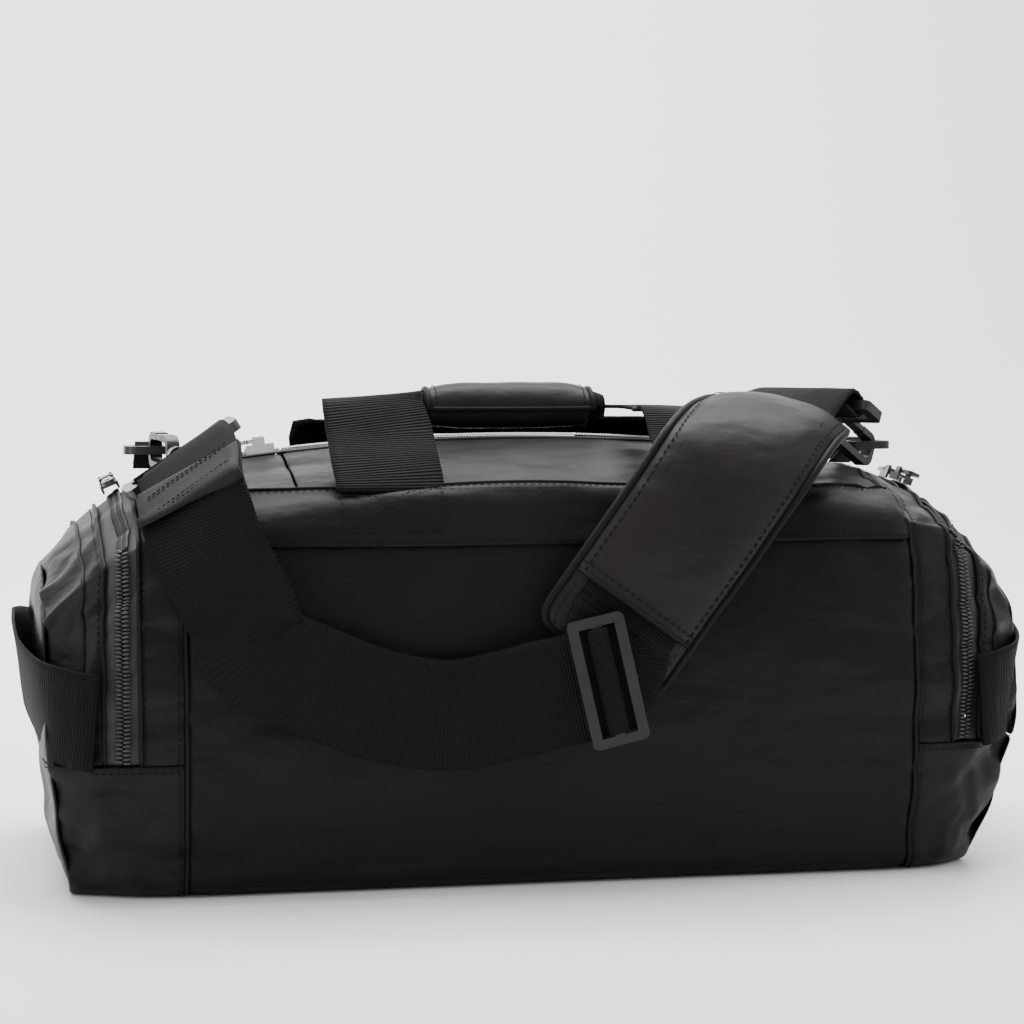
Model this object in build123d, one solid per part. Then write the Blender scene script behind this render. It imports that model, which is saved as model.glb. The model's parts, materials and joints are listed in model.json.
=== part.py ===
"""Weekender bag: a soft nylon duffle on a flat base, with a zipped top, a zipped
pocket at each end, two carry handles, grab handles and a padded shoulder strap.

Frame: millimetres, +X along the bag's length, +Y towards its rear, +Z up.
The origin is the middle of the base's underside.
"""
from build123d import *
import math
import os

# ---- body: half-lengths along X
HALF_LENGTH = 234.0          # closed end of each end pocket
PANEL_SEAM_X = 172.0         # side seam of the front and rear panels
END_ZIP_X = 200.0            # centre line of an end pocket's zip
END_SEAM_X = 214.0           # seam round an end panel

# ---- body: cross-section at mid-length
BASE_HALF_DEPTH = 110.0      # where the side starts above the bottom corner
BULGE_HALF_DEPTH = 119.0     # fullest part of the side
BULGE_Z = 92.0
SHOULDER_HALF_DEPTH = 104.0  # fold between the side and the top
SHOULDER_Z = 185.0
TOP_Z = 206.0                # crest of the top, at the main zip
CORNER_RADIUS = 14.0         # bottom corner
CROWN_RADIUS = 1050.0        # the top falls towards both ends on this radius

# ---- sheets
WALL = 2.0                   # nylon with its foam backing
WEBBING_WIDTH = 50.0
WEBBING = 1.6                # webbing thickness
LAYER_GAP = 2.0              # between the strap's two layers
CLEARANCE = 0.4              # between soft pieces that lie on each other
SEAM_GAP = 0.15              # half the gap between halves that part

# ---- levels and lines on the body
BASE_LIP_Z = 10.0            # base panel turns up to here
YOKE_LOW_Z = 163.0           # lower edge of the yoke band
MOUTH_HALF_LENGTH = 118.0    # each top flap reaches this far from the middle
FLAP_FOLD_Y = 98.0           # straight fold of each top flap
END_ZIP_LOW_Z = 62.0         # lower ends of an end pocket's zip

# ---- zips
MAIN_ZIP_HALF_LENGTH = 164.0
TAPE_HALF_WIDTH = 9.0
TAPE = 0.9                   # zip tape thickness
COIL_HALF_WIDTH = 2.4
COIL_HEIGHT = 1.5
END_TAPE_HALF_WIDTH = 8.0

# ---- main zip sliders
SLIDER_LENGTH = 14.0
SLIDER_WIDTH = 11.0
SLIDER_HEIGHT = 5.0
SLIDER_LEFT_X = -153.0       # parked places
SLIDER_RIGHT_X = -127.5
PULL_NECK = 5.5              # pin to the pull's tab
PULL_LENGTH = 9.5
PULL_WIDTH = 8.0
PULL_THICK = 2.0
PIN_RADIUS = 1.0
PIN_CLEARANCE = 0.08

# ---- end zip sliders
END_SLIDER_LENGTH = 11.0
END_SLIDER_WIDTH = 9.0
END_SLIDER_HEIGHT = 4.2
END_SLIDER_Y = 8.0           # the two sliders of an end meet at the top
END_PULL_LENGTH = 12.0
END_PULL_WIDTH = 6.0

# ---- carry handles
HANDLE_X = 77.0              # middle of each handle leg
LEG_OFFSET = 0.5             # leg stands off the yoke
FRONT_FOLD_Y = -60.0         # front handle folds back over this line
FRONT_FOLD_Z = 216.0
TURN_WIDTH = 26.0            # webbing folds narrower as it rolls into the grip
TURN_INWARD = 4.0            # and shifts towards the grip
FRONT_GRIP_Y = 20.0
FRONT_GRIP_Z = 220.0
GRIP_CORE_HALF = 50.0        # rolled part of a handle, half its length
GRIP_CORE_RY = 9.0
GRIP_CORE_RZ = 8.0
WRAP_HALF_LENGTH = 42.0
WRAP_THICK = 2.6
FLAP_THICK = 1.6
REAR_GRIP_Y = 60.0
REAR_GRIP_Z = 213.0

# ---- grab handles on the end panels
GRAB_Z = 94.0
GRAB_STANDOFF = 19.0         # beyond the end panel

# ---- D-rings and hooks
RING_X = 182.0
RING_BAR_Y = 10.0            # axis that the D-rings and the strap turn on
RING_BAR_Z = 200.4
RING_WIRE = 4.0
RING_HALF_WIDTH = 10.0       # to the middle of the wire
RING_CORNER = 6.0
RING_REACH = 22.0
RING_SLIDE = {"left": 5.0, "right": -5.0}    # hook's place along the ring's far wire
TAB_WIDTH = 12.0
HOOK_LENGTH = 48.0           # strap bar to the ring's wire
HOOK_WIDTH = 6.0
HOOK_WALL = 3.5
EYE_BEYOND = 7.0             # room in the eye past the ring's wire
EYE_HALF_HEIGHT = 5.3        # inside of the hook's eye
SHANK_RADIUS = 2.5
LOOP_BAR = 5.0
LOOP_INNER = WEBBING_WIDTH + 2.0
LOOP_REACH = 12.0
GATE_START = 30.5            # gate's pin, from the strap bar
GATE_END = 43.5

# ---- tri-glide and shoulder pad
GLIDE_HEIGHT = 60.0
GLIDE_LENGTH = 27.0
GLIDE_BAR = 5.0
GLIDE_THICK = 2.6
PAD_WIDTH = 68.0
PAD_CUSHION = 8.0
PAD_SLEEVE = 1.4
PAD_GAP = 0.9                # webbing to the pad on each face
KEEPER = 1.5
KEEPER_GAP = 3.2

# ---- inside
LINING = 0.6
BOARD_THICK = 3.0
BOARD_EDGE_GAP = 4.0         # board to the side seams and corners
LINING_TOP_Z = 150.0


def crown_drop(x):
    """How far the top has fallen at x, on the crown's arc."""
    return CROWN_RADIUS - math.sqrt(CROWN_RADIUS ** 2 - x ** 2)


def station(x):
    """Half-depths and heights of the body's outer section at |x|."""
    drop = crown_drop(min(abs(x), PANEL_SEAM_X))
    seam = dict(base=BASE_HALF_DEPTH, bulge=BULGE_HALF_DEPTH, bulge_z=BULGE_Z,
                shoulder=SHOULDER_HALF_DEPTH, shoulder_z=SHOULDER_Z - drop, top_z=TOP_Z - drop)
    if abs(x) <= PANEL_SEAM_X:
        return seam
    seam_drop = crown_drop(PANEL_SEAM_X)
    marks = [(PANEL_SEAM_X, 0.0, seam_drop, 0.0), (END_ZIP_X, 2.5, 26.0, 3.0),
             (END_SEAM_X, 6.0, 38.0, 7.0), (HALF_LENGTH, 19.0, 59.0, 16.0)]
    for (x0, in0, drop0, side0), (x1, in1, drop1, side1) in zip(marks, marks[1:]):
        if abs(x) <= x1 + 1e-6:
            part = (abs(x) - x0) / (x1 - x0)
            inward = in0 + (in1 - in0) * part
            drop = drop0 + (drop1 - drop0) * part
            side = side0 + (side1 - side0) * part
            break
    return dict(base=BASE_HALF_DEPTH - side, bulge=BULGE_HALF_DEPTH - inward, bulge_z=BULGE_Z - side,
                shoulder=SHOULDER_HALF_DEPTH - side, shoulder_z=SHOULDER_Z - drop,
                top_z=TOP_Z - drop)


def section(x, inset):
    """Closed outline of the body at x, drawn inset by a wall."""
    s = station(x)
    side = s["base"] - inset
    bulge = s["bulge"] - inset
    shoulder = s["shoulder"] - inset
    shoulder_z = s["shoulder_z"] - inset * 0.8
    top = s["top_z"] - inset
    radius = CORNER_RADIUS
    low = inset
    with BuildSketch(Plane(origin=(x, 0, 0), x_dir=(0, 1, 0), z_dir=(1, 0, 0))) as sketch:
        with BuildLine():
            Line((-side + radius, low), (side - radius, low))
            corner = radius * (1 - math.sqrt(0.5))
            ThreePointArc((side - radius, low), (side - corner, low + corner), (side, low + radius))
            ThreePointArc((side, low + radius), (bulge, s["bulge_z"]), (shoulder, shoulder_z))
            ThreePointArc((shoulder, shoulder_z), (0, top), (-shoulder, shoulder_z))
            ThreePointArc((-shoulder, shoulder_z), (-bulge, s["bulge_z"]), (-side, low + radius))
            ThreePointArc((-side, low + radius), (-side + corner, low + corner), (-side + radius, low))
        make_face()
    return sketch.sketch.faces()[0]


def body_form(inset):
    """Solid of the whole bag, inset by a wall on every side."""
    places = [0.0, 60.0, 120.0, PANEL_SEAM_X, END_ZIP_X, END_SEAM_X, HALF_LENGTH - max(inset, 0.0)]
    stations = [-x for x in reversed(places[1:])] + places
    return loft([section(x, inset) for x in stations], ruled=True)


def region(x0, x1, y0, y1, z0, z1):
    """Box between two corners."""
    box = Box(x1 - x0, y1 - y0, z1 - z0)
    return Pos((x0 + x1) / 2, (y0 + y1) / 2, (z0 + z1) / 2) * box


def ribbon(path, width, thick, offset=0.0):
    """Flat webbing through (point, width direction) stations, moved along its face."""
    points = [Vector(*point) for point, _ in path]
    faces = []
    for i, (_, across) in enumerate(path):
        before = points[max(i - 1, 0)]
        after = points[min(i + 1, len(points) - 1)]
        along = (after - before).normalized()
        across = Vector(*across)
        across = (across - along * across.dot(along)).normalized()
        face_normal = along.cross(across)
        plane = Plane(origin=points[i] + face_normal * offset, x_dir=across, z_dir=along)
        faces.append(plane * Rectangle(width if not isinstance(width, list) else width[i], thick))
    return loft([f.faces()[0] for f in faces], ruled=True)


def band_yz(points, x_mid, width, thick, radius):
    """Webbing of constant width along X, following a line in the YZ plane."""
    plane = Plane(origin=(x_mid - width / 2, 0, 0), x_dir=(0, 1, 0), z_dir=(1, 0, 0))
    line = FilletPolyline(*points, radius=radius)
    strip = trace(line, line_width=thick)
    return plane * extrude(strip, width)


PARTS = {}


def keep(name, shape):
    """Register one named node."""
    PARTS[name] = shape


outer = body_form(0.0)
inner = body_form(WALL)
shell = outer - inner
FAR = 400.0


# ---------------------------------------------------------------- body panels
def make_panels():
    x = PANEL_SEAM_X
    keep("base_panel", shell & region(-x, x, -FAR, FAR, -1, BASE_LIP_Z))
    keep("front_panel", shell & region(-x, x, -FAR, 0, BASE_LIP_Z, YOKE_LOW_Z))
    keep("rear_panel", shell & region(-x, x, 0, FAR, BASE_LIP_Z, YOKE_LOW_Z))
    keep("front_yoke", shell & region(-x, x, -FAR, -FLAP_FOLD_Y, YOKE_LOW_Z, FAR))
    keep("rear_yoke", shell & region(-x, x, FLAP_FOLD_Y, FAR, YOKE_LOW_Z, FAR))
    zip_slot = region(-MAIN_ZIP_HALF_LENGTH, MAIN_ZIP_HALF_LENGTH, -TAPE_HALF_WIDTH, TAPE_HALF_WIDTH,
                      BULGE_Z, FAR)
    top = shell - zip_slot
    mouth = MOUTH_HALF_LENGTH
    fold = FLAP_FOLD_Y - CLEARANCE
    keep("front_top_panel", top & region(-mouth, mouth, -fold, -SEAM_GAP, BULGE_Z, FAR))
    keep("rear_top_panel", top & region(-mouth, mouth, SEAM_GAP, fold, BULGE_Z, FAR))
    for side, sign in (("left", -1), ("right", 1)):
        x0, x1 = sorted((sign * (mouth + CLEARANCE), sign * x))
        keep(side + "_top_end", top & region(x0, x1, -FLAP_FOLD_Y, FLAP_FOLD_Y, BULGE_Z, FAR))


def make_ends():
    strip_end = END_ZIP_X - END_TAPE_HALF_WIDTH
    flap_start = END_ZIP_X + END_TAPE_HALF_WIDTH
    for side, sign in (("left", -1), ("right", 1)):
        def between(xa, xb, z0, z1):
            x0, x1 = sorted((sign * xa, sign * xb))
            return region(x0, x1, -FAR, FAR, z0, z1)
        low = END_ZIP_LOW_Z
        keep(side + "_body_strip", shell & between(PANEL_SEAM_X, strip_end, low, FAR))
        keep(side + "_lower_gusset", shell & between(PANEL_SEAM_X, HALF_LENGTH + 1, -1, low))
        keep(side + "_end_panel", shell & between(flap_start, HALF_LENGTH + 1, low + CLEARANCE, FAR))
        tape = body_skin(WALL / 2 - TAPE / 2, WALL / 2 + TAPE / 2)
        coil = body_skin(-COIL_HEIGHT * 0.6, WALL / 2 - TAPE / 2)
        mid = END_ZIP_X
        keep(side + "_end_inner_tape",
             (tape & between(strip_end, mid - SEAM_GAP, low + CLEARANCE, FAR))
             + (coil & between(mid - COIL_HALF_WIDTH, mid - SEAM_GAP, low + CLEARANCE, FAR)))
        keep(side + "_end_outer_tape",
             (tape & between(mid + SEAM_GAP, flap_start, low + CLEARANCE, FAR))
             + (coil & between(mid + SEAM_GAP, mid + COIL_HALF_WIDTH, low + CLEARANCE, FAR)))


def body_skin(inset0, inset1):
    """Sheet that follows the body between two insets."""
    return body_form(inset0) - body_form(inset1)


# ---------------------------------------------------------------- main zip
def crest_band(x0, x1, y0, y1, lift0, lift1):
    """Strip that follows the crown's arc, between two heights over the crest."""
    centre_z = TOP_Z - CROWN_RADIUS
    ring = Circle(CROWN_RADIUS + lift1) - Circle(CROWN_RADIUS + lift0)
    plane = Plane(origin=(0, y1, centre_z), x_dir=(1, 0, 0), z_dir=(0, -1, 0))
    band = plane * extrude(ring, y1 - y0)
    return band & region(x0, x1, y0, y1, BULGE_Z, FAR)


TAPE_LIFT = -WALL / 2 - TAPE / 2     # underside of the main zip's tape, under the crest


def zip_strip(x0, x1, y0, y1, coil0, coil1):
    """Tape with its coil edge."""
    tape = crest_band(x0, x1, y0, y1, TAPE_LIFT, TAPE_LIFT + TAPE)
    coil = crest_band(x0, x1, coil0, coil1, TAPE_LIFT + TAPE, TAPE_LIFT + TAPE + COIL_HEIGHT)
    return tape + coil


def make_main_zip():
    mouth = MOUTH_HALF_LENGTH
    wide = TAPE_HALF_WIDTH - 0.05
    coil = COIL_HALF_WIDTH
    keep("front_zip_half", zip_strip(-mouth, mouth, -wide, -SEAM_GAP, -coil, -SEAM_GAP))
    keep("rear_zip_half", zip_strip(-mouth, mouth, SEAM_GAP, wide, SEAM_GAP, coil))
    start = mouth + CLEARANCE
    stop = MAIN_ZIP_HALF_LENGTH - 0.1
    closed = [zip_strip(*sorted((sign * start, sign * stop)), -wide, wide, -coil, coil) for sign in (-1, 1)]
    keep("main_zip_ends", Compound(children=closed))


def slider_shape(length, width, height, coil_gap):
    """Slider over a coil: a plate with two side flanges and a bridge for the pull.
    Local frame: X along the zip, Z away from the tape, origin on the tape."""
    top = Pos(0, 0, height - 0.75) * Box(length, width, 1.5)
    flange_height = height - 1.5
    flange = Box(length, 1.2, flange_height - CLEARANCE)
    flanges = [Pos(0, s * (width / 2 - 0.6), (flange_height + CLEARANCE) / 2) * flange for s in (-1, 1)]
    body = top + flanges[0] + flanges[1]
    bridge_z = height + PIN_RADIUS + PIN_CLEARANCE
    bore = Pos(0, 0, bridge_z + 0.6) * Rot(90, 0, 0) * Cylinder(PIN_RADIUS + PIN_CLEARANCE, width)
    cheeks = []
    for s in (-1, 1):
        cheek = Pos(0, s * (width / 2 - 1.5), height + 1.7) * Box(5.5, 1.4, 3.6)
        cheeks.append(cheek - bore)
    return body + cheeks[0] + cheeks[1]


def pull_shape(height, slider_width, length, tab_width):
    """Pull: a cross pin, a neck and a flat tab, lying along +X over the slider.
    Local frame as the slider's."""
    pin_z = height + PIN_RADIUS + PIN_CLEARANCE + 0.6
    pin = Pos(0, 0, pin_z) * Rot(90, 0, 0) * Cylinder(PIN_RADIUS, slider_width - 1.8)
    neck_width = slider_width - 4.4 - 2 * CLEARANCE
    neck = Pos(PULL_NECK / 2, 0, pin_z) * Box(PULL_NECK, neck_width, PULL_THICK)
    tab = Pos(PULL_NECK + length / 2, 0, pin_z) * Box(length, tab_width, PULL_THICK)
    tab = fillet(tab.edges().filter_by(Axis.Z), tab_width * 0.3)
    hole = Pos(PULL_NECK + length * 0.55, 0, pin_z) * Box(length * 0.45, tab_width * 0.4, PULL_THICK * 2)
    return pin + neck + (tab - hole)


def on_crest(x, shape):
    """Place a shape on the main zip's tape at x, square to the crown's arc."""
    angle = math.degrees(math.asin(x / CROWN_RADIUS))
    centre_z = TOP_Z - CROWN_RADIUS
    tape_top = CROWN_RADIUS + TAPE_LIFT + TAPE
    return Pos(0, 0, centre_z) * Rot(0, angle, 0) * Pos(0, 0, tape_top) * shape


def make_sliders():
    body = slider_shape(SLIDER_LENGTH, SLIDER_WIDTH, SLIDER_HEIGHT, COIL_HEIGHT)
    pull = pull_shape(SLIDER_HEIGHT, SLIDER_WIDTH, PULL_LENGTH, PULL_WIDTH)
    turned = Rot(0, 0, 180)
    keep("left_slider", on_crest(SLIDER_LEFT_X, body))
    keep("left_slider_pull", on_crest(SLIDER_LEFT_X, turned * pull))
    keep("right_slider", on_crest(SLIDER_RIGHT_X, body))
    keep("right_slider_pull", on_crest(SLIDER_RIGHT_X, turned * pull))


# ---------------------------------------------------------------- end zip sliders
def end_dome():
    """Centre height and radius of the top's arc over an end zip."""
    s = station(END_ZIP_X)
    rise = s["top_z"] - s["shoulder_z"]
    radius = (s["shoulder"] ** 2 + rise ** 2) / (2 * rise)
    return s["top_z"] - radius, radius


def make_end_sliders():
    centre_z, radius = end_dome()
    lift = 0.9
    for side, sign in (("left", -1), ("right", 1)):
        for end, way in (("front", -1), ("rear", 1)):
            body = slider_shape(END_SLIDER_LENGTH, END_SLIDER_WIDTH, END_SLIDER_HEIGHT, COIL_HEIGHT)
            pull = pull_shape(END_SLIDER_HEIGHT, END_SLIDER_WIDTH, END_PULL_LENGTH,
                              END_PULL_WIDTH)
            angle = math.degrees(math.asin(END_SLIDER_Y / radius))
            # the dome slopes along X too: lean the slider with it
            lean = math.degrees(math.atan2(26.0 - crown_drop(PANEL_SEAM_X), END_ZIP_X - PANEL_SEAM_X))
            place = (Pos(sign * END_ZIP_X, 0, centre_z) * Rot(-way * angle, 0, 0) * Pos(0, 0, radius + lift)
                     * Rot(0, sign * lean, 0) * Rot(0, 0, way * 90))
            name = side + "_end_slider_" + end
            keep(name, place * body)
            keep(name + "_pull", place * pull)


# ---------------------------------------------------------------- carry handles
def side_arc():
    """Centre and radius of the side's arc at mid-length, in the YZ plane."""
    (y0, z0), (y1, z1) = (BASE_HALF_DEPTH, CORNER_RADIUS), (BULGE_HALF_DEPTH, BULGE_Z)
    y2, z2 = SHOULDER_HALF_DEPTH, SHOULDER_Z
    a1, b1, c1 = y1 - y0, z1 - z0, (y1 ** 2 - y0 ** 2 + z1 ** 2 - z0 ** 2) / 2
    a2, b2, c2 = y2 - y1, z2 - z1, (y2 ** 2 - y1 ** 2 + z2 ** 2 - z1 ** 2) / 2
    det = a1 * b2 - a2 * b1
    yc = (c1 * b2 - c2 * b1) / det
    zc = (a1 * c2 - a2 * c1) / det
    return yc, zc, math.hypot(y0 - yc, z0 - zc)


def side_y(z):
    """Half-depth of the side at height z."""
    yc, zc, radius = side_arc()
    return yc + math.sqrt(radius ** 2 - (z - zc) ** 2)


def leg_line(sign, end_y, end_z):
    """Line of a handle leg from its sewn foot up the yoke and over the top."""
    out = LEG_OFFSET + WEBBING / 2
    foot_z = YOKE_LOW_Z + 1.0
    shoulder_z = SHOULDER_Z - crown_drop(HANDLE_X)
    return [(sign * (side_y(foot_z) + out), foot_z),
            (sign * (SHOULDER_HALF_DEPTH + out + 1.0), shoulder_z),
            (sign * (SHOULDER_HALF_DEPTH - 12.0), shoulder_z + (end_z - shoulder_z) * 0.7),
            (sign * end_y, end_z)]


def turn(side, fold_y, fold_z, grip_y, grip_z):
    """Webbing from a leg's fold, narrowing and rolling into the grip's end."""
    ahead = 1.0 if grip_y > fold_y else -1.0
    run = abs(grip_y - fold_y)
    rise = grip_z - fold_z
    end = GRIP_CORE_HALF - 0.5
    begin = HANDLE_X - TURN_INWARD
    marks = [(begin, 0.0, 0.0, (1, 0), TURN_WIDTH), (begin, 0.25, 0.9, (1, 0), TURN_WIDTH),
             (begin - 1, 0.52, 1.8, (1, 0), TURN_WIDTH), (HANDLE_X - 9, 0.79, 2.0, (0.8, 0.6), 25),
             (HANDLE_X - 19, 0.93, 1.5, (0.4, 0.9), 20), (end, 1.0, 1.0, (0, 1), 17.5)]
    path = []
    widths = []
    for x, part, lift, (wx, wy), width in marks:
        point = (side * x, fold_y + ahead * run * part, fold_z + rise * lift)
        path.append((point, (side * wx, ahead * wy, 0)))
        widths.append(width)
    return ribbon(path, widths, WEBBING)


def grip_core(y, z):
    """Rolled webbing that the hand holds."""
    plane = Plane(origin=(-GRIP_CORE_HALF, y, z), x_dir=(0, 1, 0), z_dir=(1, 0, 0))
    return plane * extrude(Ellipse(GRIP_CORE_RY, GRIP_CORE_RZ), 2 * GRIP_CORE_HALF)


def make_front_handle():
    line = leg_line(-1, -FRONT_FOLD_Y, FRONT_FOLD_Z)
    legs = [band_yz(line, side * HANDLE_X, WEBBING_WIDTH, WEBBING, 6.0) for side in (-1, 1)]
    keep("front_handle_legs", Compound(children=legs))
    start = FRONT_FOLD_Y + 1.5
    grip = grip_core(FRONT_GRIP_Y, FRONT_GRIP_Z)
    for side in (-1, 1):
        grip = grip + turn(side, start, FRONT_FOLD_Z, FRONT_GRIP_Y, FRONT_GRIP_Z)
    keep("front_handle_grip", grip)
    inner_y = GRIP_CORE_RY + CLEARANCE
    inner_z = GRIP_CORE_RZ + CLEARANCE
    plane = Plane(origin=(-WRAP_HALF_LENGTH, FRONT_GRIP_Y, FRONT_GRIP_Z), x_dir=(0, 1, 0), z_dir=(1, 0, 0))
    ring = Ellipse(inner_y + WRAP_THICK, inner_z + WRAP_THICK) - Ellipse(inner_y, inner_z)
    keep("grip_wrap", plane * extrude(ring, 2 * WRAP_HALF_LENGTH))
    flap_y = inner_y + WRAP_THICK + CLEARANCE
    flap_z = inner_z + WRAP_THICK + CLEARANCE
    ring = Ellipse(flap_y + FLAP_THICK, flap_z + FLAP_THICK) - Ellipse(flap_y, flap_z)
    upper = Pos(0, flap_z) * Rectangle(4 * flap_y, 2 * flap_z)
    keep("grip_wrap_flap", plane * extrude(ring & upper, 2 * WRAP_HALF_LENGTH))


def make_rear_handle():
    line = leg_line(1, REAR_GRIP_Y + 10.0, REAR_GRIP_Z - 3.0)
    cut_z = line[1][1] + 1.0
    patches = []
    handle = grip_core(REAR_GRIP_Y, REAR_GRIP_Z)
    for side in (-1, 1):
        leg = band_yz(line, side * HANDLE_X, WEBBING_WIDTH, WEBBING, 6.0)
        patches.append(leg & region(-FAR, FAR, 0, FAR, 0, cut_z))
        upper = leg & region(-FAR, FAR, REAR_GRIP_Y + 24.0, FAR, cut_z + 2 * CLEARANCE, FAR)
        start = (REAR_GRIP_Y + 24.2, line_height(line, REAR_GRIP_Y + 24.2))
        handle = handle + upper + turn(side, start[0], start[1], REAR_GRIP_Y, REAR_GRIP_Z)
    keep("rear_handle_patches", Compound(children=patches))
    keep("rear_handle", handle)


def line_height(line, y):
    """Height of a (y, z) line at y."""
    for (y0, z0), (y1, z1) in zip(line, line[1:]):
        if min(y0, y1) <= y <= max(y0, y1):
            return z0 + (z1 - z0) * (y - y0) / (y1 - y0)
    raise ValueError("y is outside the line")


def make_grab_handles():
    seam = station(END_SEAM_X)["bulge"] + 2 * LEG_OFFSET + WEBBING
    corner = station(HALF_LENGTH)["bulge"] + 4.0
    out = HALF_LENGTH + GRAB_STANDOFF
    points = [(END_SEAM_X - 2, -seam), (HALF_LENGTH + 4.0, -corner), (out - 4.0, -corner * 0.62), (out, 0),
              (out - 4.0, corner * 0.62), (HALF_LENGTH + 4.0, corner), (END_SEAM_X - 2, seam)]
    strip = trace(FilletPolyline(*points, radius=12.0), line_width=WEBBING)
    band = Pos(0, 0, GRAB_Z - WEBBING_WIDTH / 2) * extrude(strip, WEBBING_WIDTH)
    keep("right_grab_handle", band)
    keep("left_grab_handle", Rot(0, 0, 180) * band)


# ---------------------------------------------------------------- D-rings and hooks
HOOK_WAYS = {"left": Vector(-0.18, 0.982, 0.05).normalized(),
             "right": Vector(0.678, 0.593, -0.434).normalized()}
LOOP_ACROSS = {"left": Vector(0.83, 0.12, 0.545), "right": Vector(-0.66, 0.75, 0.0)}


def ring_contact(side):
    """Middle of the D-ring's far wire, where the hook hangs."""
    sign = -1 if side == "left" else 1
    return Vector(sign * RING_X + RING_SLIDE[side], RING_BAR_Y - RING_REACH, RING_BAR_Z)


def strap_bar(side):
    """Middle of the bar that the strap goes round."""
    return ring_contact(side) - HOOK_WAYS[side] * HOOK_LENGTH


def make_rings():
    half = RING_HALF_WIDTH
    wire = RING_WIRE / 2
    outline = Pos(0, -RING_REACH / 2) * RectangleRounded(2 * half + RING_WIRE, RING_REACH + RING_WIRE,
                                                          RING_CORNER)
    hole = Pos(0, -RING_REACH / 2) * RectangleRounded(2 * half - RING_WIRE, RING_REACH - RING_WIRE,
                                                       RING_CORNER - RING_WIRE)
    frame = extrude(outline - hole, wire, both=True)
    frame = frame - Box(4 * half, 3 * RING_WIRE, 3 * RING_WIRE)
    bar = Rot(0, 90, 0) * Cylinder(wire - 0.3, 2 * half - 1.0)
    post = Pos(half - 1.0, -RING_WIRE * 0.9) * Box(2.6, RING_WIRE * 2.2, RING_WIRE * 0.8)
    ring = frame + bar + post + mirror(post, Plane.YZ)
    tabs = []
    for side, sign in (("left", -1), ("right", 1)):
        keep(side + "_d_ring", Pos(sign * RING_X, RING_BAR_Y, RING_BAR_Z) * ring)
        bore = wire - 0.3 + 0.1
        sleeve = Circle(bore + 1.2) - Circle(bore)
        top = station(RING_X)["top_z"] + 1.6
        low_y = RING_BAR_Y + 26.0
        plane = Plane(origin=(sign * RING_X - TAB_WIDTH / 2, RING_BAR_Y, RING_BAR_Z),
                      x_dir=(0, 1, 0), z_dir=(1, 0, 0))
        rise = RING_BAR_Z - top
        tail = make_face(Polyline((bore + 0.6, 0.3), (low_y - RING_BAR_Y, 1.4 - rise - 1.0),
                                  (low_y - RING_BAR_Y, -rise - 1.0), (bore + 0.2, -0.9), close=True))
        tabs.append(plane * extrude((sleeve + tail) - Circle(bore), TAB_WIDTH))
    keep("ring_tabs", Compound(children=tabs))


def hook_frame(origin, way, across):
    """Plane with X across, Y along the hook and Z out of its face."""
    across = (across - way * across.dot(way)).normalized()
    return Plane(origin=origin, x_dir=across, z_dir=across.cross(way))


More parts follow.
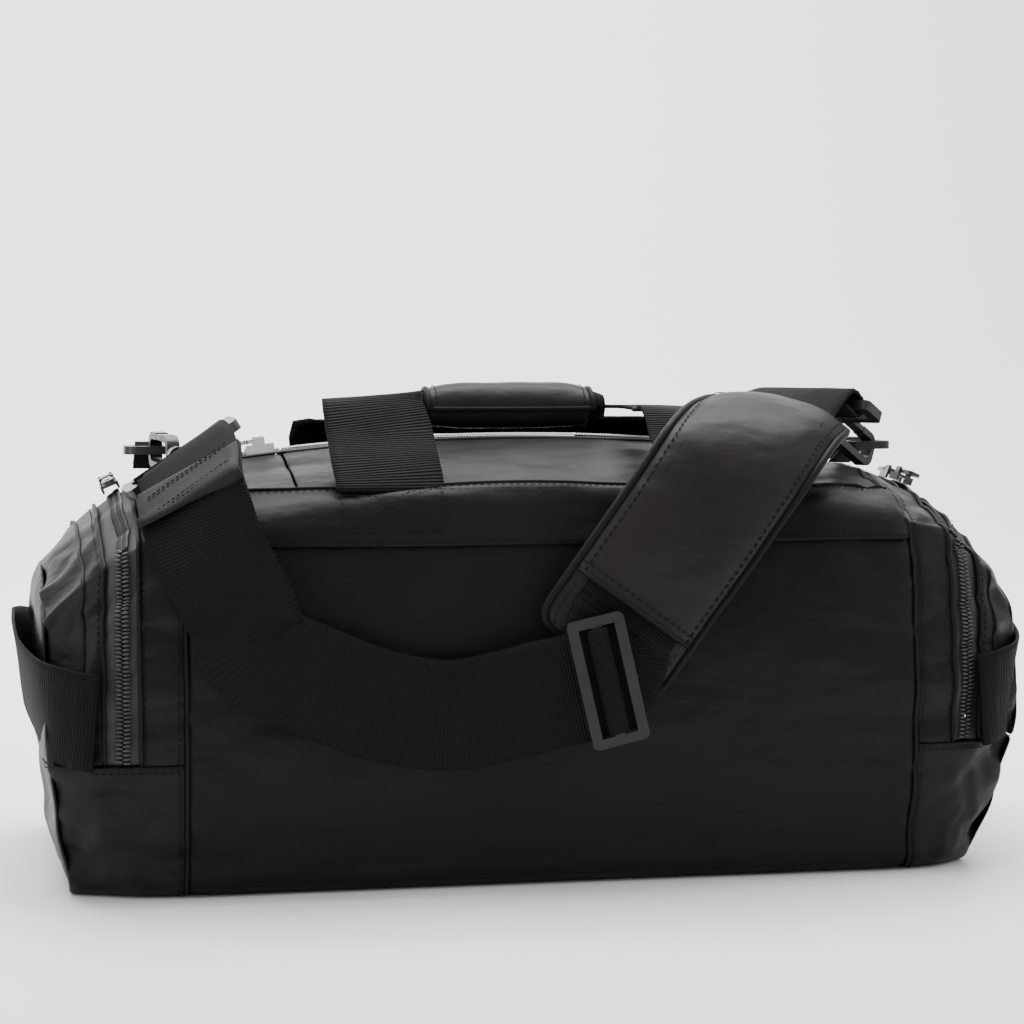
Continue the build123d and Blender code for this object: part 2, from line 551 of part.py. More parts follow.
def make_hooks():
    eye_end = HOOK_LENGTH + EYE_BEYOND
    eye_start = LOOP_REACH + 12.0
    high = EYE_HALF_HEIGHT + HOOK_WALL
    side_plane = Plane(origin=(-HOOK_WIDTH / 2, 0, 0), x_dir=(0, 1, 0), z_dir=(1, 0, 0))
    eye_middle = (eye_start + eye_end) / 2
    eye_length = eye_end - eye_start
    outline = Pos(eye_middle) * RectangleRounded(eye_length + 2 * HOOK_WALL, 2 * high, 6.0)
    hole = Pos(eye_middle) * RectangleRounded(eye_length, 2 * EYE_HALF_HEIGHT, 3.0)
    eye = side_plane * extrude(outline - hole, HOOK_WIDTH)
    pin_z = EYE_HALF_HEIGHT + HOOK_WALL / 2
    slot = Pos(0, GATE_START, pin_z) * Box(2 * 1.7, 6.0, HOOK_WALL + 0.6)
    gap_start = GATE_START + 2.6
    gap_end = GATE_END + 0.5
    gap_box = Box(HOOK_WIDTH * 2, gap_end - gap_start, HOOK_WALL + 0.6)
    gap = Pos(0, (gap_start + gap_end) / 2, pin_z) * gap_box
    bore = Pos(0, GATE_START, pin_z) * Rot(0, 90, 0) * Cylinder(0.9 + PIN_CLEARANCE, HOOK_WIDTH * 2)
    shank_start = LOOP_REACH - LOOP_BAR / 2 - CLEARANCE
    shank = Pos(0, (shank_start + eye_start) / 2 - 1.0, 0) * Rot(90, 0, 0) * Cylinder(
        SHANK_RADIUS, eye_start - shank_start - 1.0)
    head = Pos(0, shank_start - 0.8, 0) * Rot(90, 0, 0) * Cylinder(SHANK_RADIUS + 1.4, 1.6)
    hook = eye - slot - gap - bore + shank + head
    lever = Pos(0, GATE_START + 1.0, pin_z) * Box(2 * 1.35, 4.6, HOOK_WALL - 0.8)
    arm_start = gap_start + 0.35
    arm = Pos(0, (arm_start + GATE_END) / 2, pin_z) * Box(HOOK_WIDTH, GATE_END - arm_start, HOOK_WALL - 0.8)
    gate_pin = Pos(0, GATE_START, pin_z) * Rot(0, 90, 0) * Cylinder(0.9, HOOK_WIDTH)
    gate = lever + arm + gate_pin
    wide = LOOP_INNER + 2 * LOOP_BAR
    frame = Pos(0, LOOP_REACH / 2) * RectangleRounded(wide, LOOP_REACH + LOOP_BAR, 3.0)
    frame = frame - Pos(0, LOOP_REACH / 2) * Rectangle(LOOP_INNER, LOOP_REACH - LOOP_BAR)
    loop = extrude(frame, LOOP_BAR / 2, both=True)
    boss = Pos(0, LOOP_REACH, 0) * Rot(90, 0, 0) * Cylinder(SHANK_RADIUS + 2.5, LOOP_BAR)
    shank_bore = Pos(0, LOOP_REACH, 0) * Rot(90, 0, 0) * Cylinder(SHANK_RADIUS + PIN_CLEARANCE, LOOP_BAR * 3)
    loop = loop + boss - shank_bore
    for side in ("left", "right"):
        way = HOOK_WAYS[side]
        upright = hook_frame(strap_bar(side), way, Vector(way.Y, -way.X, 0))
        keep(side + "_hook", upright * hook)
        keep(side + "_hook_gate", upright * gate)
        keep(side + "_hook_loop", hook_frame(strap_bar(side), way, LOOP_ACROSS[side]) * loop)


# ---------------------------------------------------------------- shoulder strap
LAYER = (WEBBING + LAYER_GAP) / 2        # middle of the doubled webbing to each layer

STRAP_DRAPE = [                           # middle of the doubled webbing, and its width direction
    ((-164.5, -89.0, 192.5), (0.82, 0.10, 0.56)),
    ((-165.5, -115.0, 182.0), (0.80, 0.03, 0.60)),
    ((-163.0, -122.5, 163.0), (0.80, 0.0, 0.60)),
    ((-156.0, -125.0, 148.0), (0.80, 0.0, 0.60)),
    ((-148.0, -126.0, 132.0), (0.60, 0.0, 0.80)),
    ((-141.0, -126.5, 114.0), (0.25, 0.0, 0.97)),
    ((-118.0, -126.5, 102.0), (0.18, 0.0, 0.98)),
    ((-85.0, -126.5, 89.0), (0.15, 0.0, 0.99)),
    ((-55.0, -127.0, 84.0), (0.0, 0.0, 1.0)),
    ((-31.0, -129.0, 87.5), (-0.2, 0.0, 0.98)),
]
GLIDE_WAY = Vector(0.974, 0, 0.225)
GLIDE_ACROSS = Vector(-0.225, 0, 0.974)
GLIDE_MIDDLE = Vector(17.0, -131.4, 99.0)

PAD_PATH = [                              # webbing inside the pad, and its width direction
    ((13.0, -129.6, 106.0), (-0.83, 0.0, 0.555)),
    ((26.0, -129.6, 124.0), (-0.83, 0.0, 0.555)),
    ((42.0, -129.4, 146.0), (-0.83, 0.0, 0.555)),
    ((60.0, -127.5, 170.0), (-0.83, 0.05, 0.55)),
    ((78.0, -121.0, 194.0), (-0.84, 0.15, 0.52)),
    ((94.0, -105.0, 213.0), (-0.85, 0.35, 0.38)),
    ((111.0, -84.0, 224.0), (-0.85, 0.48, 0.20)),
    ((127.0, -62.0, 228.0), (-0.84, 0.52, 0.05)),
]


def path_on(middle, way, across, steps):
    """Stations along a straight way from a middle point."""
    return [(tuple(middle + way * step), tuple(across)) for step in steps]


def bar_wrap(side, along, start, stop):
    """Stations round a strap bar: along the top, round the far side, back below."""
    centre = strap_bar(side)
    across = LOOP_ACROSS[side]
    along = (along - across * (along.dot(across) / across.dot(across))).normalized()
    normal = along.cross(across).normalized()
    reach = LOOP_BAR * 0.71 + CLEARANCE + WEBBING / 2
    turn_marks = [(-start, 1.0), (0.0, 1.0), (0.3 * reach, 1.0), (reach, 0.3), (reach, -0.3),
                  (0.3 * reach, -1.0), (0.0, -1.0), (-stop, -1.0)]
    points = [centre + along * ahead + normal * (reach * part) for ahead, part in turn_marks]
    return [(tuple(point), tuple(across)) for point in points]


def make_strap():
    glide = path_on(GLIDE_MIDDLE, GLIDE_WAY, GLIDE_ACROSS, (-30.0, 0.0))
    front_end = path_on(GLIDE_MIDDLE, GLIDE_WAY, GLIDE_ACROSS, (11.0,))
    leave = (Vector(*STRAP_DRAPE[0][0]) - strap_bar("left")).normalized()
    wrap = bar_wrap("left", leave * -1.0, 8.0, 8.0)
    # the wrap starts under its bar, so the front layer leaves from its last stations
    front = wrap[6:] + shifted(STRAP_DRAPE + glide + front_end, LAYER)
    keep("strap_front_layer", ribbon(front, WEBBING_WIDTH, WEBBING))
    mouth = tuple(Vector(*PAD_PATH[1][0]) * 1.15 - Vector(*PAD_PATH[2][0]) * 0.15)
    into_pad = [(mouth, PAD_PATH[1][1])] + PAD_PATH[1:]
    rear = wrap[5::-1] + shifted(STRAP_DRAPE + glide, -LAYER) + into_pad
    rear_end = bar_wrap("right", HOOK_WAYS["right"], 9.0, 12.0)
    keep("strap_rear_layer", ribbon(rear + rear_end, WEBBING_WIDTH, WEBBING))
    keeper_lift = LAYER + WEBBING / 2 + KEEPER_GAP + KEEPER / 2
    keep("strap_keeper", ribbon(shifted(STRAP_DRAPE, keeper_lift)[:2], WEBBING_WIDTH + 2, KEEPER))


def shifted(path, offset):
    """The same stations, moved out along the webbing's face."""
    points = [Vector(*point) for point, _ in path]
    moved = []
    for i, (_, across) in enumerate(path):
        along = points[min(i + 1, len(points) - 1)] - points[max(i - 1, 0)]
        normal = along.cross(Vector(*across)).normalized()
        moved.append((tuple(points[i] + normal * offset), across))
    return moved


def make_glide():
    plane = Plane(origin=GLIDE_MIDDLE, x_dir=tuple(GLIDE_WAY), z_dir=tuple(GLIDE_WAY.cross(GLIDE_ACROSS)))
    out = LAYER + WEBBING / 2 + CLEARANCE + GLIDE_THICK / 2
    slot = (GLIDE_LENGTH - 3 * GLIDE_BAR) / 2
    frame = RectangleRounded(GLIDE_LENGTH, GLIDE_HEIGHT, 3.0)
    inner_height = GLIDE_HEIGHT - 2 * (GLIDE_BAR - 0.5)
    for sign in (-1, 1):
        frame = frame - Pos(sign * (GLIDE_BAR + slot) / 2) * Rectangle(slot, inner_height)
    keep("tri_glide", plane * (Pos(0, 0, out) * extrude(frame, GLIDE_THICK / 2, both=True)))
    # the strap's sewn end goes over the middle bar
    half = GLIDE_BAR / 2 + CLEARANCE
    top = GLIDE_THICK / 2 + CLEARANCE
    low = -GLIDE_THICK / 2 - CLEARANCE / 2
    outside = Pos(0, (top + WEBBING + low) / 2) * Rectangle(2 * (half + WEBBING), top + WEBBING - low)
    inside = Pos(0, (top + low) / 2 - 1) * Rectangle(2 * half, top - low + 2)
    profile = outside - inside
    across_plane = Plane(origin=(0, -WEBBING_WIDTH / 2, out), x_dir=(1, 0, 0), z_dir=(0, -1, 0))
    loop = across_plane * extrude(profile, -WEBBING_WIDTH)
    keep("strap_end_loop", plane * loop)


def make_pad():
    back = -(WEBBING / 2 + PAD_GAP + PAD_CUSHION / 2)
    cushion = ribbon(PAD_PATH, PAD_WIDTH, PAD_CUSHION, back)
    sleeve_path = PAD_PATH[1:]
    front = WEBBING / 2 + PAD_GAP + PAD_SLEEVE / 2
    sleeve = ribbon(sleeve_path, PAD_WIDTH, PAD_SLEEVE, front)
    filler = ribbon(sleeve_path, PAD_WIDTH, WEBBING + 2 * PAD_GAP + 0.2)
    channel = ribbon(sleeve_path, WEBBING_WIDTH + 3, WEBBING + 2 * PAD_GAP + 1.0)
    keep("shoulder_pad", cushion + sleeve + (filler - channel))


# ---------------------------------------------------------------- inside
def make_inside():
    cavity = WALL + CLEARANCE
    open_top = region(-PANEL_SEAM_X, PANEL_SEAM_X, -FAR, FAR, -1, LINING_TOP_Z)
    bag = body_form(cavity) & open_top
    end = PANEL_SEAM_X - LINING
    hollow = body_form(cavity + LINING) & region(-end, end, -FAR, FAR, -1, FAR)
    keep("main_lining", bag - hollow)
    half_x = PANEL_SEAM_X - LINING - BOARD_EDGE_GAP
    half_y = BASE_HALF_DEPTH - CORNER_RADIUS - BOARD_EDGE_GAP
    low = cavity + LINING + CLEARANCE
    keep("base_board", region(-half_x, half_x, -half_y, half_y, low, low + BOARD_THICK))


if __name__ == "__main__":
    make_panels()
    make_ends()
    make_main_zip()
    make_sliders()
    make_end_sliders()
    make_front_handle()
    make_rear_handle()
    make_grab_handles()
    make_rings()
    make_hooks()
    make_strap()
    make_glide()
    make_pad()
    make_inside()
    os.makedirs("parts", exist_ok=True)
    for name, shape in PARTS.items():
        export_step(shape, "parts/" + name + ".step")
        print(name, round(shape.volume / 1000.0, 2), "cm3")
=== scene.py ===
"""Weekender bag: soft nylon duffle, its zips, handles and padded strap, on the CAD frame."""
import json
import math

import bmesh
import bpy
from mathutils import Matrix, Vector, noise

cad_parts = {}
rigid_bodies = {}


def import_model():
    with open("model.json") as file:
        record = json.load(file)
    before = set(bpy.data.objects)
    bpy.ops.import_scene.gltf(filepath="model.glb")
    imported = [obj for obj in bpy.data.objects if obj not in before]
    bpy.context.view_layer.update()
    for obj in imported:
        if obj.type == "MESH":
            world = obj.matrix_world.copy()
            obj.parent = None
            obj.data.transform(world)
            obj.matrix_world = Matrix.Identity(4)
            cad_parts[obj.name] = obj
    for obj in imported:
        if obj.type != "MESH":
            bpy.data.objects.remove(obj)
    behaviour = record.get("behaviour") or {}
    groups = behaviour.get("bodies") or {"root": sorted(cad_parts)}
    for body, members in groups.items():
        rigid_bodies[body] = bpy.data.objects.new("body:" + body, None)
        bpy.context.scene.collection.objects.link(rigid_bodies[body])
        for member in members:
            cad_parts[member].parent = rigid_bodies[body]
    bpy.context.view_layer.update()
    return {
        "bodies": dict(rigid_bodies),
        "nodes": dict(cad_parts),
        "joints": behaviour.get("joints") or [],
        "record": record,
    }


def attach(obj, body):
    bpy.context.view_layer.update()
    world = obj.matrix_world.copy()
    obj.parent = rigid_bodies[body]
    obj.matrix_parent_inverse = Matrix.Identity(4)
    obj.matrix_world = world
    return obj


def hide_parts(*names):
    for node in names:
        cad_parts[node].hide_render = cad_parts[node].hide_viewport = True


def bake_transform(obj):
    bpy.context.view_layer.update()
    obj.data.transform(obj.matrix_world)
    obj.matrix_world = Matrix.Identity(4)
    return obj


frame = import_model()
MM = 0.001

# ---- camera, at the viewing angle: 11 degrees round to the left, 3.6 degrees down
CAMERA_PLACE = Vector((-249.6, -1278.9, 250.0)) * MM
CAMERA_TURN = math.radians(11.0)
CAMERA_PITCH = math.radians(3.62)
camera_data = bpy.data.cameras.new("camera")
camera_data.lens = 91.4
camera_data.sensor_width = 36.0
camera = bpy.data.objects.new("camera", camera_data)
bpy.context.collection.objects.link(camera)
camera.location = CAMERA_PLACE
sight = Vector((math.sin(CAMERA_TURN) * math.cos(CAMERA_PITCH),
                math.cos(CAMERA_TURN) * math.cos(CAMERA_PITCH), -math.sin(CAMERA_PITCH)))
camera.rotation_euler = sight.to_track_quat("-Z", "Y").to_euler()
bpy.context.scene.camera = camera

# ---- body sizes, in millimetres
HALF_LENGTH = 234.0
SIDE_SEAM = 172.0
END_ZIP = 200.0
TAPE_EDGE = 8.0
END_SEAM = 214.0
MOUTH = 118.0
CROWN_RADIUS = 1050.0
CORNER = 14.0
TOP_Z = 206.0
YOKE_Z = 163.0
ZIP_LOW_Z = 62.0
FOLD_Z = 187.5               # level of the fold between a yoke band and the top
FOLD_FALL = 0.35             # share of the crown's fall that the fold takes
WEB = 50.0                   # the strap's and handles' webbing
WEB_THICK = 1.6
CLOTH_THICK = 1.6
TAPE_THICK = 0.8
LINING_THICK = 0.5
BASE_HALF_DEPTH = 110.0
BULGE_HALF_DEPTH = 119.0     # fullest part of the side
BULGE_Z = 92.0
SHOULDER_HALF_DEPTH = 104.0
SHOULDER_Z = 185.0
CREST_FULLNESS = 0.257       # fall from the crest halfway to the shoulder, as a share of the whole fall
END_MIDDLE = 95.0            # height about which an end's cloth faces outwards


# ---------------------------------------------------------------- body form
def crown_drop(x):
    return CROWN_RADIUS - math.sqrt(CROWN_RADIUS ** 2 - x ** 2)


# |x|, how far the bulge comes in, how far the top falls, how far the sides come in
STATIONS = [(SIDE_SEAM, 0.0, crown_drop(SIDE_SEAM), 0.0), (END_ZIP, 2.5, 26.0, 3.0),
            (END_SEAM, 6.0, 38.0, 7.0), (HALF_LENGTH, 19.0, 59.0, 16.0)]


def station(x):
    """Half-depths and heights of the body's section at |x|."""
    x = min(abs(x), HALF_LENGTH)
    inward, drop, side = 0.0, crown_drop(min(x, SIDE_SEAM)), 0.0
    for (x0, in0, drop0, side0), (x1, in1, drop1, side1) in zip(STATIONS, STATIONS[1:]):
        if x0 < x <= x1:
            part = (x - x0) / (x1 - x0)
            inward = in0 + (in1 - in0) * part
            drop = drop0 + (drop1 - drop0) * part
            side = side0 + (side1 - side0) * part
    return (BASE_HALF_DEPTH - side, BULGE_HALF_DEPTH - inward, BULGE_Z - side, SHOULDER_HALF_DEPTH - side,
            SHOULDER_Z - drop, TOP_Z - drop)


def arc(a, b, c, part):
    """Point on the arc from a through b to c."""
    (ax, ay), (bx, by), (cx, cy) = a, b, c
    det = 2 * (ax * (by - cy) + bx * (cy - ay) + cx * (ay - by))
    sa, sb, sc = ax * ax + ay * ay, bx * bx + by * by, cx * cx + cy * cy
    ox = (sa * (by - cy) + sb * (cy - ay) + sc * (ay - by)) / det
    oy = (sa * (cx - bx) + sb * (ax - cx) + sc * (bx - ax)) / det
    radius = math.hypot(ax - ox, ay - oy)
    start = math.atan2(ay - oy, ax - ox)
    sweep = (math.atan2(cy - oy, cx - ox) - start + math.pi) % (2 * math.pi) - math.pi
    angle = start + sweep * part
    return ox + radius * math.cos(angle), oy + radius * math.sin(angle)


def outline(x, u):
    """(y, z) on the body at x. u is 0 on the crest, 1 at the shoulder, 2 above the bottom
    corner, 3 below it and 4 in the middle of the base; it is negative at the front."""
    v = (u + 4.0) % 8.0 - 4.0
    way = -1.0 if v < 0 else 1.0
    v = abs(v)
    base, bulge, bulge_z, shoulder, shoulder_z, top_z = station(x)
    if v <= 1.0:
        halfway = (shoulder * 0.5, top_z - (top_z - shoulder_z) * CREST_FULLNESS)
        y, z = arc((0.0, top_z), halfway, (shoulder, shoulder_z), v)
    elif v <= 2.0:
        y, z = arc((shoulder, shoulder_z), (bulge, bulge_z), (base, CORNER), v - 1.0)
    elif v <= 3.0:
        turn = (v - 2.0) * math.pi / 2
        y, z = base - CORNER + CORNER * math.cos(turn), CORNER - CORNER * math.sin(turn)
    else:
        y, z = (base - CORNER) * (4.0 - v), 0.0
    return way * y, z


def u_between(x, z, low, high, halvings=24):
    """u at height z, between two others where the body falls."""
    for _ in range(halvings):
        mid = (low + high) / 2
        if outline(x, mid)[1] > z:
            low = mid
        else:
            high = mid
    return low


def u_at(x, z):
    """u on the side at height z."""
    return u_between(x, z, 1.0, 2.0)


# share of the distance beyond the side seam that each end's cloth keeps, at heights
END_FORM = {-1.0: ((0.0, 0.84), (36.0, 0.95), (75.0, 1.02), (130.0, 1.03), (200.0, 1.0)),
            1.0: ((0.0, 0.58), (36.0, 0.76), (75.0, 0.93), (130.0, 0.95), (200.0, 1.0))}


def end_x(x, z):
    """The soft ends sag inwards near the floor and fill out above the gusset."""
    if abs(x) <= SIDE_SEAM:
        return x
    sign = 1.0 if x > 0 else -1.0
    marks = END_FORM[sign]
    share = marks[-1][1]
    for (z0, s0), (z1, s1) in zip(marks, marks[1:]):
        if z0 <= z <= z1:
            share = s0 + (s1 - s0) * ease(z, z0, z1)
            break
    return sign * (SIDE_SEAM + (abs(x) - SIDE_SEAM) * share)


def bare(x, u):
    y, z = outline(x, u)
    return Vector((end_x(x, z), y, z))


def fold_u(x):
    """u of the fold between a yoke band and the top, at x."""
    return u_between(x, FOLD_Z - crown_drop(x) * FOLD_FALL, 0.5, 1.0, 20)


def normal(x, u):
    sign = 1.0 if x >= 0 else -1.0
    step = 1.5 * sign
    inner = x if abs(x) + 1.5 <= HALF_LENGTH else x - step
    along = (bare(inner + step, u) - bare(inner, u)) * sign
    around = bare(inner, u + 0.015) - bare(inner, u - 0.015)
    out = around.cross(along).normalized()
    centre = Vector((inner, 0, END_MIDDLE))
    return out if out.dot(bare(inner, u) - centre) > 0 else -out


def ease(value, low, high):
    part = min(max((value - low) / (high - low), 0.0), 1.0)
    return part * part * (3 - 2 * part)


def relief(x, u):
    """Height of the cloth's folds and hollows, in millimetres."""
    y, z = outline(x, u)
    v = abs((u + 4.0) % 8.0 - 4.0)
    seam = abs(abs(x) - SIDE_SEAM)
    floor = ease(z, 2.0, 20.0)
    broad = noise.noise(Vector((x * 0.011, y * 0.012, z * 0.014)) + Vector((3.1, 0, 7))) * 2.2 - 1.3
    across = noise.noise(Vector((x * 0.012, y * 0.05, z * 0.075 + x * 0.02)))
    pucker = across * 4.0 * math.exp(-seam / 26.0)
    drag = noise.noise(Vector((x * 0.018 + z * 0.012, y * 0.02, z * 0.045 - x * 0.014 + 4)))
    pull = -3.4 * (1.0 - min(abs(drag) * 3.0, 1.0)) ** 2 * (0.22 + 0.78 * math.exp(-seam / 60.0))
    fine = noise.noise(Vector((x * 0.05 + 9, y * 0.08, z * 0.11))) * 0.9 * math.exp(-seam / 40.0)
    pinch = -1.8 * math.exp(-(seam / 3.5) ** 2)
    end = ease(abs(x), SIDE_SEAM, HALF_LENGTH)
    folds = noise.noise(Vector((x * 0.02 + 5, y * 0.03, z * 0.035 - abs(x) * 0.03))) * 5.4 * end
    ridge = noise.noise(Vector((x * 0.045, y * 0.02 + 2, z * 0.05 + abs(x) * 0.045)))
    creases = (0.5 - min(abs(ridge) * 3.0, 1.0)) * 2.6 * end
    sag = -3.4 * math.exp(-((v - 0.5) / 0.3) ** 2) * ease(SIDE_SEAM - abs(x), 0.0, 60.0)
    crumple = (broad + pucker + pull + fine + folds + creases) * (0.15 + 0.85 * floor)
    return crumple * (0.35 + 0.65 * ease(v, 0.05, 0.3)) + pinch + sag * 0.6


RELIEF_SHARE = 0.8


def skin(x, u, lift=0.0):
    """Point on the creased cloth, lifted off it by some millimetres."""
    return bare(x, u) + normal(x, u) * (relief(x, u) * RELIEF_SHARE + lift)


# ---------------------------------------------------------------- mesh helpers
def as_piece(name, bm):
    mesh = bpy.data.meshes.new(name)
    bm.to_mesh(mesh)
    bm.free()
    for polygon in mesh.polygons:
        polygon.use_smooth = True
    piece = bpy.data.objects.new(name, mesh)
    bpy.context.collection.objects.link(piece)
    return piece


def append(whole, part):
    """Add one bmesh to another and free it."""
    held = bpy.data.meshes.new("held")
    part.to_mesh(held)
    part.free()
    whole.from_mesh(held)
    bpy.data.meshes.remove(held)


def face_outward(piece, away=None):
    """Turn a sheet's faces away from a point (millimetres)."""
    mesh = piece.data
    centre = Vector(away or (0, 0, END_MIDDLE)) * MM
    score = sum((p.center - centre).dot(p.normal) * p.area for p in mesh.polygons)
    if score < 0:
        mesh.flip_normals()


def grid(name, rows, uvs=None, closed=False, capped=False):
    """Sheet whose lines of points lie on the given rows."""
    count = len(rows[0])
    wide = count + 1 if closed else count
    bm = bmesh.new()
    bmesh.ops.create_grid(bm, x_segments=wide - 1, y_segments=len(rows) - 1, size=1.0)
    bm.verts.ensure_lookup_table()
    for i, row in enumerate(rows):
        for j in range(wide):
            bm.verts[i * wide + j].co = Vector(row[j % count]) * MM
    if uvs:
        layer = bm.loops.layers.uv.new("UVMap")
        for face in bm.faces:
            for loop in face.loops:
                i, j = divmod(loop.vert.index, wide)
                loop[layer].uv = uvs[i * count + j % count]
    if closed:
        bmesh.ops.remove_doubles(bm, verts=bm.verts, dist=1e-7)
    if capped:
        bmesh.ops.holes_fill(bm, edges=[edge for edge in bm.edges if edge.is_boundary], sides=0)
        bmesh.ops.recalc_face_normals(bm, faces=bm.faces)
    return as_piece(name, bm)


def close_ends(piece):
    """Fill a rolled sheet's two open ends."""
    bm = bmesh.new()
    bm.from_mesh(piece.data)
    bmesh.ops.holes_fill(bm, edges=[edge for edge in bm.edges if edge.is_boundary], sides=64)
    bmesh.ops.recalc_face_normals(bm, faces=bm.faces)
    bm.to_mesh(piece.data)
    bm.free()


def thicken(piece, thick, inward=True):
    solid = piece.modifiers.new("thick", "SOLIDIFY")
    solid.thickness = thick * MM
    solid.offset = -1.0 if inward else 0.0
    solid.use_even_offset = False


def subdivide(piece, levels=1):
    smooth = piece.modifiers.new("smooth", "SUBSURF")
    smooth.levels = levels
    smooth.render_levels = levels


def finish_piece(piece, material, body, slot, *nodes):
    piece.data.materials.clear()
    piece.data.materials.append(material)
    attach(piece, body)
    if nodes:
        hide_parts(*nodes)
    return piece


def spread(low, high, step):
    count = max(int(math.ceil(abs(high - low) / step)), 1)
    return [low + (high - low) * i / count for i in range(count + 1)]


def between(p0, p1, p2, p3, t):
    """Point on the smooth (Catmull-Rom) line from p1 to p2."""
    return 0.5 * (2 * p1 + (p2 - p0) * t + (2 * p0 - 5 * p1 + 4 * p2 - p3) * t * t
                  + (3 * p1 - p0 - 3 * p2 + p3) * t * t * t)


def curve_points(points, step):
    """Smooth run of points through the given ones."""
    run = []
    for i in range(len(points) - 1):
        p0, p1 = points[max(i - 1, 0)], points[i]
        p2, p3 = points[i + 1], points[min(i + 2, len(points) - 1)]
        count = max(int((p2 - p1).length / step), 1)
        for j in range(count):
            t = j / count
            run.append(between(p0, p1, p2, p3, t))
    run.append(points[-1])
    return run


def tube(name, points, radius, sides=8):
    """Round cord of small radius along points, with closed ends."""
    rows = []
    before = None
    for i, point in enumerate(points):
        along = (points[min(i + 1, len(points) - 1)] - points[max(i - 1, 0)]).normalized()
        if before is None:
            before = along.orthogonal().normalized()
        side = (before - along * before.dot(along)).normalized()
        up = along.cross(side)
        before = side
        size = radius * (0.35 if i in (0, len(points) - 1) else 1.0)
        rows.append([point + side * math.cos(a) * size + up * math.sin(a) * size
                     for a in [2 * math.pi * k / sides for k in range(sides)]])
    return grid(name, rows, closed=True, capped=True)


BATCH = 25                   # shapes made in one small mesh before it joins the whole, for speed


def stitches(name, runs, pitch=3.4, length=2.3, thick=0.28):
    """Rows of thread. Each run is a list of (point, normal)."""
    whole = bmesh.new()
    for run in runs:
        line_of_thread = bmesh.new()
        made = 0
        left = pitch * 0.5
        for (a, na), (b, nb) in zip(run, run[1:]):
            span = (b - a).length
            while left < span:
                part = left / span
                out = na.lerp(nb, part).normalized()
                along = (b - a).normalized()
                side = out.cross(along).normalized()
                turn = Matrix((side, along.cross(side), along)).transposed().to_4x4()
                size = Matrix.Diagonal((thick * MM, thick * MM, length * 0.55 * MM, 1.0))
                place = Matrix.Translation((a.lerp(b, part) + out * thick * 0.2) * MM)
                bmesh.ops.create_uvsphere(line_of_thread, u_segments=5, v_segments=4, radius=1.0,
                                          matrix=place @ turn @ size)
                left += pitch
                made += 1
                if made % BATCH == 0:
                    append(whole, line_of_thread)
                    line_of_thread = bmesh.new()
            left -= span
        append(whole, line_of_thread)
    return as_piece(name, whole)


# ---------------------------------------------------------------- materials
def group(name, inputs, outputs, build):
    """Shader node group with named inputs and outputs."""
    tree = bpy.data.node_groups.new(name, "ShaderNodeTree")
    for socket, kind, value in inputs:
        made = tree.interface.new_socket(name=socket, in_out="INPUT", socket_type=kind)
        made.default_value = value
    for socket, kind in outputs:
        tree.interface.new_socket(name=socket, in_out="OUTPUT", socket_type=kind)
    start = tree.nodes.new("NodeGroupInput")
    end = tree.nodes.new("NodeGroupOutput")
    build(tree, start, end)
    return tree


class Net:
    """Short calls for building a node tree."""

    def __init__(self, tree):
        self.tree = tree

    def put(self, socket, value):
        if isinstance(value, bpy.types.NodeSocket):
            self.tree.links.new(value, socket)
        else:
            socket.default_value = value

    def math(self, kind, a, b=0.0):
        node = self.tree.nodes.new("ShaderNodeMath")
        node.operation = kind
        self.put(node.inputs[0], a)
        self.put(node.inputs[1], b)
        return node.outputs[0]

    def noise(self, vector, scale, detail=2.0):
        node = self.tree.nodes.new("ShaderNodeTexNoise")
        self.put(node.inputs["Vector"], vector)
        self.put(node.inputs["Scale"], scale)
        self.put(node.inputs["Detail"], detail)
        return node.outputs["Fac"]

    def wave(self, vector, scale, direction):
        node = self.tree.nodes.new("ShaderNodeTexWave")
        node.wave_type = "BANDS"
        node.bands_direction = direction
        self.put(node.inputs["Vector"], vector)
        self.put(node.inputs["Scale"], scale)
        return node.outputs["Fac"]

    def scaled(self, vector, by):
        node = self.tree.nodes.new("ShaderNodeVectorMath")
        node.operation = "MULTIPLY"
        self.put(node.inputs[0], vector)
        self.put(node.inputs[1], by)
        return node.outputs[0]

    def mix(self, part, a, b):
        node = self.tree.nodes.new("ShaderNodeMix")
        node.data_type = "RGBA"
        self.put(node.inputs[0], part)
        self.put(node.inputs[6], a)
        self.put(node.inputs[7], b)
        return node.outputs[2]

    def span(self, value, low, high):
        node = self.tree.nodes.new("ShaderNodeMapRange")
        self.put(node.inputs["Value"], value)
        self.put(node.inputs["To Min"], low)
        self.put(node.inputs["To Max"], high)
        return node.outputs["Result"]

    def bump(self, height, strength, distance, before=None):
        node = self.tree.nodes.new("ShaderNodeBump")
        self.put(node.inputs["Height"], height)
        self.put(node.inputs["Strength"], strength)
        self.put(node.inputs["Distance"], distance)
        if before is not None:
            self.put(node.inputs["Normal"], before)
        return node.outputs["Normal"]

    def coords(self, kind):
        return self.tree.nodes.new("ShaderNodeTexCoord").outputs[kind]


COLOUR, FLOAT, VECTOR = "NodeSocketColor", "NodeSocketFloat", "NodeSocketVector"
LOOKS = [("Color", COLOUR), ("Roughness", FLOAT), ("Normal", VECTOR)]


